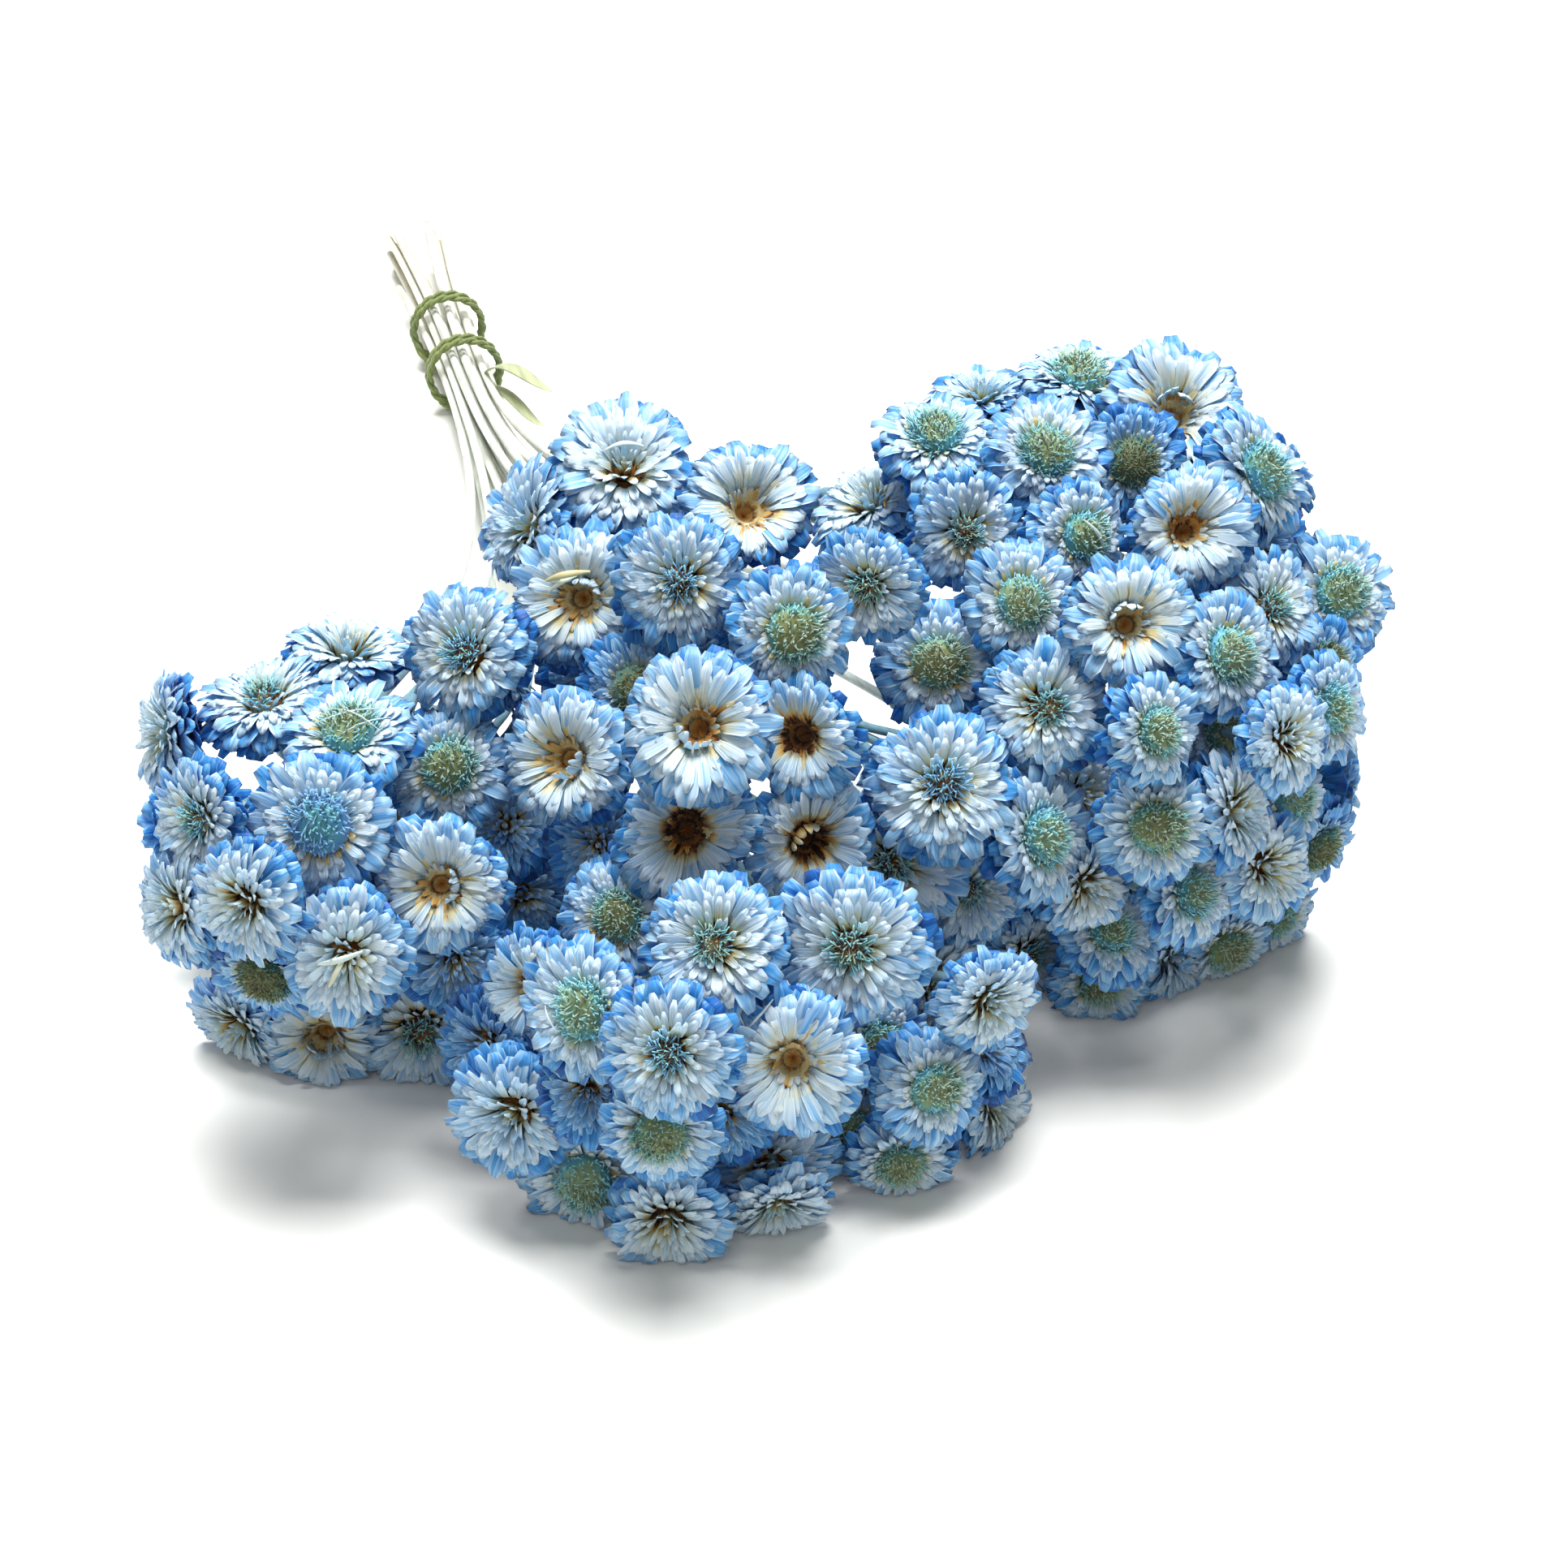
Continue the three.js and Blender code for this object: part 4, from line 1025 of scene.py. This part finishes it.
def makePetalPaper():
    material, tree = startMaterial("dyedPetalPaper")
    dye, warm, mark, tipward = petalTones(tree)
    spot = addNode(tree, "ShaderNodeSeparateXYZ")
    feed(tree, spot, Vector=addNode(tree, "ShaderNodeUVMap", uv_map="petalMap").outputs["UV"])
    across = spot.outputs["X"]
    grain = addNode(tree, "ShaderNodeCombineXYZ")
    lengthwise = mathNode(tree, "MULTIPLY", tipward, 0.12)
    feed(tree, grain, X=across, Y=lengthwise, Z=mathNode(tree, "MULTIPLY", mark, 9.0))
    streak, mottle = fibreOn(tree, grain.outputs["Vector"], streaks=7, patches=2.2)
    # Petal rims are paler: painted light through their thin edges; each petal's own mark shifts its tone
    # at random
    fromMiddle = mathNode(tree, "ABSOLUTE", mathNode(tree, "SUBTRACT", across, 0.5))
    rimLight = mapRange(tree, fromMiddle, From_Min=0.3, From_Max=0.5)
    fibreTint = mathNode(tree, "ADD", aroundZero(tree, streak, 0.8), aroundZero(tree, mottle, 0.3))
    markAndRimLight = mathNode(tree, "ADD", aroundZero(tree, mark, 0.12), mathNode(tree, "MULTIPLY", rimLight, -0.22))
    shift = mathNode(tree, "ADD", fibreTint, markAndRimLight)
    dyeFactor = mathNode(tree, "ADD", dye, shift, clamp=True)
    dyed = ramp(tree, dyeFactor, ice=0.0, frost=0.22, sky=0.48, cobalt=0.74, navy=1.0)
    warmFactor = mathNode(tree, "ADD", warm, mathNode(tree, "MULTIPLY", shift, 0.8), clamp=True)
    warmed = ramp(tree, warmFactor, ivory=0.0, straw=0.35, amber=0.62, brown=0.86, umber=1.0)
    body = mixColours(tree, mapRange(tree, warm, From_Min=0.02, From_Max=0.3), dyed, warmed)
    normal = bumpFrom(tree, streak, strength=0.8, deep=0.14)
    paper = principled(tree, body, normal, Roughness=0.42, Specular_IOR_Level=0.35, Sheen_Weight=0.15)
    glow = addNode(tree, "ShaderNodeBsdfTranslucent")  # the light that comes through is bluer
    feed(tree, glow, Color=mixColours(tree, 1.0, body, (0.3, 0.72, 1, 1), blend="MULTIPLY"), Normal=normal)
    blend = addNode(tree, "ShaderNodeMixShader")
    feed(tree, blend, Fac=0.4)
    tree.links.new(paper, blend.inputs[1])
    tree.links.new(glow.outputs["BSDF"], blend.inputs[2])
    endMaterial(tree, blend.outputs["Shader"])
    return material


def makeFloretFuzz():
    material, tree = startMaterial("floretFuzz")
    hue, _, mark, light = petalTones(tree)
    place = addNode(tree, "ShaderNodeTexCoord").outputs["Object"]
    streak, mottle = fibreOn(tree, place, streaks=2600, patches=500)
    wander = mathNode(tree, "ADD", aroundZero(tree, mark, 0.34), aroundZero(tree, mottle, 0.5))
    hueFactor = mathNode(tree, "ADD", hue, wander, clamp=True)
    tint = ramp(tree, hueFactor, moss=0.0, olive=0.3, teal=0.52, lagoon=0.75, azure=1.0)
    # Painted shade: florets darken towards their feet and on the dark look, mixed towards near black
    shade = mapRange(tree, light, To_Min=0.12)
    shaded = mixColours(tree, shade, (0.012, 0.014, 0.008, 1), tint)
    paleness = mapRange(tree, light, From_Min=0.4, To_Max=0.42)
    body = mixColours(tree, paleness, shaded, colour("frost"))
    normal = bumpFrom(tree, streak, strength=0.4, deep=0.08)
    endMaterial(tree, principled(tree, body, normal, Roughness=0.75, Sheen_Weight=0.4))
    return material


# Dry stem skin, from one colour to another by the stem's own tone, darker in its grooves
def makeStemSkin(name, fromTint, toTint, streaks):
    material, tree = startMaterial(name)
    tone = petalTones(tree)[0]
    stretch = addNode(tree, "ShaderNodeMapping")
    place = addNode(tree, "ShaderNodeTexCoord").outputs["Object"]
    feed(tree, stretch, Vector=place, Scale=(1, 0.09, 1))
    streak, mottle = fibreOn(tree, stretch.outputs["Vector"], streaks=streaks, patches=120)
    factor = mathNode(tree, "ADD", tone, aroundZero(tree, mottle, 0.8), clamp=True)
    skin = mixColours(tree, factor, colour(fromTint), colour(toTint))
    groove = mapRange(tree, streak, From_Min=0.3, From_Max=0.65, To_Min=0.62)
    worn = mixColours(tree, 1.0, skin, groove, blend="MULTIPLY")
    normal = bumpFrom(tree, streak, strength=0.6, deep=0.1)
    endMaterial(tree, principled(tree, worn, normal, Roughness=0.7, Sheen_Weight=0.25))
    return material


petalPaper = makePetalPaper()
floretFuzz = makeFloretFuzz()
stalkSkin = makeStemSkin("dyedStalkSkin", "stalk", "dyed", 1500)
stemSkin = makeStemSkin("paleStemSkin", "hay", "sage", 1300)
leafSkin = makeStemSkin("dryLeafSkin", "leaf", "olive", 900)
twineFibre = makeStemSkin("twineFibre", "twine", "moss", 2400)
print("materials made")

# Loose strands and curled petals that lie on some heads: the head's place in the view, where they start
# and end and how high they lie and arch, for a head of radius 1, how wide and flat, and how warm
stray = namedtuple("stray", "on start end lie arch wide flat warm")
strays = [
    stray((430, 905), (-0.55, -0.1), (0.62, 0.3), 0.34, 0.12, 0.035, 1, 0.1),
    stray((430, 905), (-0.3, 0.25), (0.55, -0.2), 0.34, 0.16, 0.03, 1, 0.15),
    stray((430, 905), (-0.1, -0.3), (0.7, 0.12), 0.32, 0.1, 0.03, 1, 0.05),
    stray((1330, 662), (-0.2, 0.3), (0.3, -0.25), 0.36, 0.14, 0.08, 0.5, 0.12),
    stray((1330, 662), (0, 0.32), (0.36, -0.12), 0.34, 0.1, 0.05, 0.6, 0.2),
    stray((718, 1248), (-0.5, 0.12), (-0.3, -0.28), 0.36, 0.1, 0.06, 0.5, 0),
    stray((713, 735), (-0.5, 0.24), (0.2, 0.38), 0.1, 0.3, 0.13, 0.25, 0.34),
    stray((713, 735), (-0.46, 0.06), (-0.02, 0.32), 0.08, 0.24, 0.1, 0.3, 0.2),
    stray((422, 1180), (-0.36, -0.02), (0.4, 0.22), 0.26, 0.12, 0.12, 0.3, 0.14),
    stray((422, 1180), (-0.2, -0.42), (0.12, 0.16), 0.26, 0.14, 0.13, 0.3, 0.24),
    stray((770, 575), (-0.3, 0.1), (0.3, 0.18), 0.3, 0.14, 0.1, 0.3, 0.1),
    stray((977, 1315), (-0.8, 0.5), (-0.3, 1.06), -0.1, 0.1, 0.045, 1, 0.06),
    stray((977, 1315), (-0.72, 0.58), (-0.86, 0.9), -0.1, 0.06, 0.035, 1, 0.06),
]
strayShape = dict(steps=9, sides=6, end=0.35, middle=0.65)


def addStray(bm, item, stray):
    right = unit(eyeRight - item.axis * (eyeRight @ item.axis))
    up = np.cross(item.axis, right)

    def ringAt(t):
        x, y = (mix(a, b, t) for a, b in zip(stray.start, stray.end))
        arched = math.sin(math.pi * t)
        rise = stray.lie + stray.arch * arched
        middle = item.centre + (right * x + up * y + item.axis * rise) * item.size / 2
        slim = strayShape["end"] + strayShape["middle"] * arched
        return middle, stray.wide / 2 * item.size / 2 * mm * slim, (0, stray.warm, 0.5, t)

    across = inPart(item.centre + up) - inPart(item.centre)
    addTube(bm, strayShape, ringAt, petalSlot, side=across, flat=stray.flat)


def addStalk(bm, item):
    def ringAt(t):
        radius = stalk["diameter"] / 2 * mm * (1 + stalk["swell"] * t**6)
        return bezier(*item.route, t), radius, (stalk["tones"][0] + stalk["tones"][1] * t, 0, 0, t)

    addTube(bm, stalk, ringAt, stalkSlot)


def addDyedEnd(bm, spray):
    def ringAt(t):
        radius = mm * (dyedEnd["thick"] - dyedEnd["thinner"] * t)
        return mix(spray.fork, spray.hub, t), radius, (dyedEnd["tone"], 0, 0, t)

    addTube(bm, dyedEnd, ringAt, stalkSlot)


# Each spray: its heads, their thin stalks and the dyed end of its stem
for spray in sprays:
    bm, layer = startShape()
    for item in spray.own:
        addHead(bm, item)
        for loose in strays:
            if loose.on == (item.across, item.down):
                addStray(bm, item, loose)
    for item in spray.own:
        addStalk(bm, item)
    addDyedEnd(bm, spray)
    materials = (petalPaper, floretFuzz, stalkSkin)
    finishPiece(bm, f"{spray.name}_daisies", materials, "petals", f"{spray.name}_heads")

# Two dry curled leaves at the right of the bundle: which stem carries them, and where they start and end
leaves = [
    dict(side=1.5, row=1, start=1, tip=vec(-36, 384, 13), wide=3, arch=1.2),
    dict(side=2, row=0, start=2, tip=vec(-36.9, 380.2, 9), wide=2.2, arch=-0.8),
]
leafShape = dict(steps=14, sides=8, flat=0.16, curl=0.9, curls=5, end=0.12, middle=0.88, tones=(0.6, 0.4))
stemSlot, leafSlot, twineSlot = 0, 1, 0


def addLeaf(bm, spray, leaf):
    root = spray.held + along * leaf["start"]
    way = leaf["tip"] - root
    side = unit(np.cross(way, vec(0, 0, 1)))
    up = unit(np.cross(side, way))

    def ringAt(t):
        arch = leaf["arch"] * 4 * t * (1 - t) + leafShape["curl"] * math.sin(t * leafShape["curls"])
        full = leafShape["end"] + leafShape["middle"] * math.sin(math.pi * t**0.8) ** 0.7
        tone = leafShape["tones"][0] + leafShape["tones"][1] * t
        return root + way * t + up * arch, leaf["wide"] / 2 * mm * full, (0, tone, 0, t)

    across = inPart(root + side) - inPart(root)
    addTube(bm, leafShape, ringAt, leafSlot, side=across, flat=leafShape["flat"])


def carries(spray, leaf):
    inRow = round(spray.slot.up / rowStep) == leaf["row"]
    return inRow and math.isclose(spray.slot.side, leaf["side"] * pitch)


# The pale stems, with faint ribs and swellings where small leaves sat
stemLook = dict(
    steps=44, sides=10, ribs=0.1, slim=0.94, swelling=0.1, swellings=34, short=14, wave=0.04, waves=19,
    tones=(0.1, 1.1), seed=50,
)


def addStem(bm, spray, phase):
    def ringAt(t):
        swollen = max(0, math.cos(t * stemLook["swellings"] + phase)) ** stemLook["short"]
        wave = math.sin(t * stemLook["waves"] + phase)
        thick = stemLook["slim"] + stemLook["swelling"] * swollen + stemLook["wave"] * wave
        tone = min(stemLook["tones"][0] + stemLook["tones"][1] * t, 1)
        return stemPoint(spray, t), stem["diameter"] / 2 * mm * thick, (tone, 0, 0, t)

    addTube(bm, stemLook, ringAt, stemSlot)


for k, spray in enumerate(sprays):
    bm, layer = startShape()
    addStem(bm, spray, np.random.RandomState(stemLook["seed"] + k).uniform(0, wander["phase"]))
    for leaf in leaves:
        if carries(spray, leaf):
            addLeaf(bm, spray, leaf)
    finishPiece(bm, f"{spray.name}_stalk", (stemSkin, leafSkin), "stems", f"{spray.name}_stem")

# Two twisted strands of twine, wound round the bundle in two bands
twine = dict(
    diameter=1.3, turns=4, pitch=1.7, apart=17.4, lastBand=3.5, rows=2.35, clearance=0.32, crossing=0.5,
    strands=2, twists=34, steps=220, strandThick=0.29, strandOut=0.22, sides=6, tone=0.3,
)


def twinePoint(t):
    turn = t * twine["turns"]
    step = (turn - twine["turns"] / 2 + twine["crossing"] / 2) / twine["crossing"]
    step = min(max(step, 0), 1)
    step = step * step * (3 - 2 * step)
    back = twine["lastBand"] + twine["apart"] * (1 - step) - twine["pitch"] * (turn - 1 - 2 * step)
    radius = twine["rows"] * pitch + stem["diameter"] / 2 + twine["clearance"] + twine["diameter"] / 2
    angle = (turn - 0.25) * wholeTurn  # it starts underneath
    out = bundleSide * math.cos(angle) + bundleUp * math.sin(angle)
    return bundle.held - along * back + out * radius, out


def addStrand(bm, strand):
    def ringAt(t):
        middle, out = twinePoint(t)
        turn = t * twine["twists"] * wholeTurn + strand * math.pi
        offset = (out * math.cos(turn) + along * math.sin(turn)) * twine["diameter"] * twine["strandOut"]
        return middle + offset, twine["diameter"] * twine["strandThick"] * mm, (twine["tone"], 0, 0, 0)

    addTube(bm, twine, ringAt, twineSlot, rests=True)


bm, layer = startShape()
for strand in range(twine["strands"]):
    addStrand(bm, strand)
finishPiece(bm, "twine_wound", (twineFibre,), "twine", "twine")

# A plain pale floor, soft light from high above, and a weak fill from the front left
floorLook = dict(size=4, tint=(0.93, 0.94, 0.9, 1), rough=0.9)
lights = dict(
    softKey=dict(place=(0.07, 0.17, 1.0), target=(0, -0.05, 0), size=0.62, power=25),
    frontFill=dict(place=(-0.3, -0.9, 0.9), target=(0, 0, 0), size=0.8, power=3.4),
)
room = dict(Color=(1, 0.99, 0.94, 1), Strength=0.11)


def addFloor():
    bm = bmesh.new()
    bmesh.ops.create_grid(bm, x_segments=1, y_segments=1, size=floorLook["size"])
    floor = bpy.data.objects.new("floor", asMesh(bm, "floor"))
    bpy.context.scene.collection.objects.link(floor)
    material, tree = startMaterial("floorPaper")
    paper = addNode(tree, "ShaderNodeBsdfPrincipled")
    feed(tree, paper, Base_Color=floorLook["tint"], Roughness=floorLook["rough"])
    endMaterial(tree, paper.outputs["BSDF"])
    floor.data.materials.append(material)


def addLight(name, place, target, size, power):
    lamp = bpy.data.lights.new(name, "AREA")
    lamp.size = size
    lamp.energy = power
    light = bpy.data.objects.new(name, lamp)
    aim = (Vector(target) - Vector(place)).to_track_quat("-Z", "Y").to_matrix().to_4x4()
    light.matrix_world = Matrix.Translation(place) @ aim
    bpy.context.scene.collection.objects.link(light)


addFloor()
for name, settings in lights.items():
    addLight(name, **settings)
world = bpy.data.worlds.new("softRoom")
world.use_nodes = True
feed(world.node_tree, world.node_tree.nodes["Background"], **room)
bpy.context.scene.world = world
bpy.context.scene.view_settings.view_transform = "Standard"
print("floor, lights and camera set")

print("all pieces made")
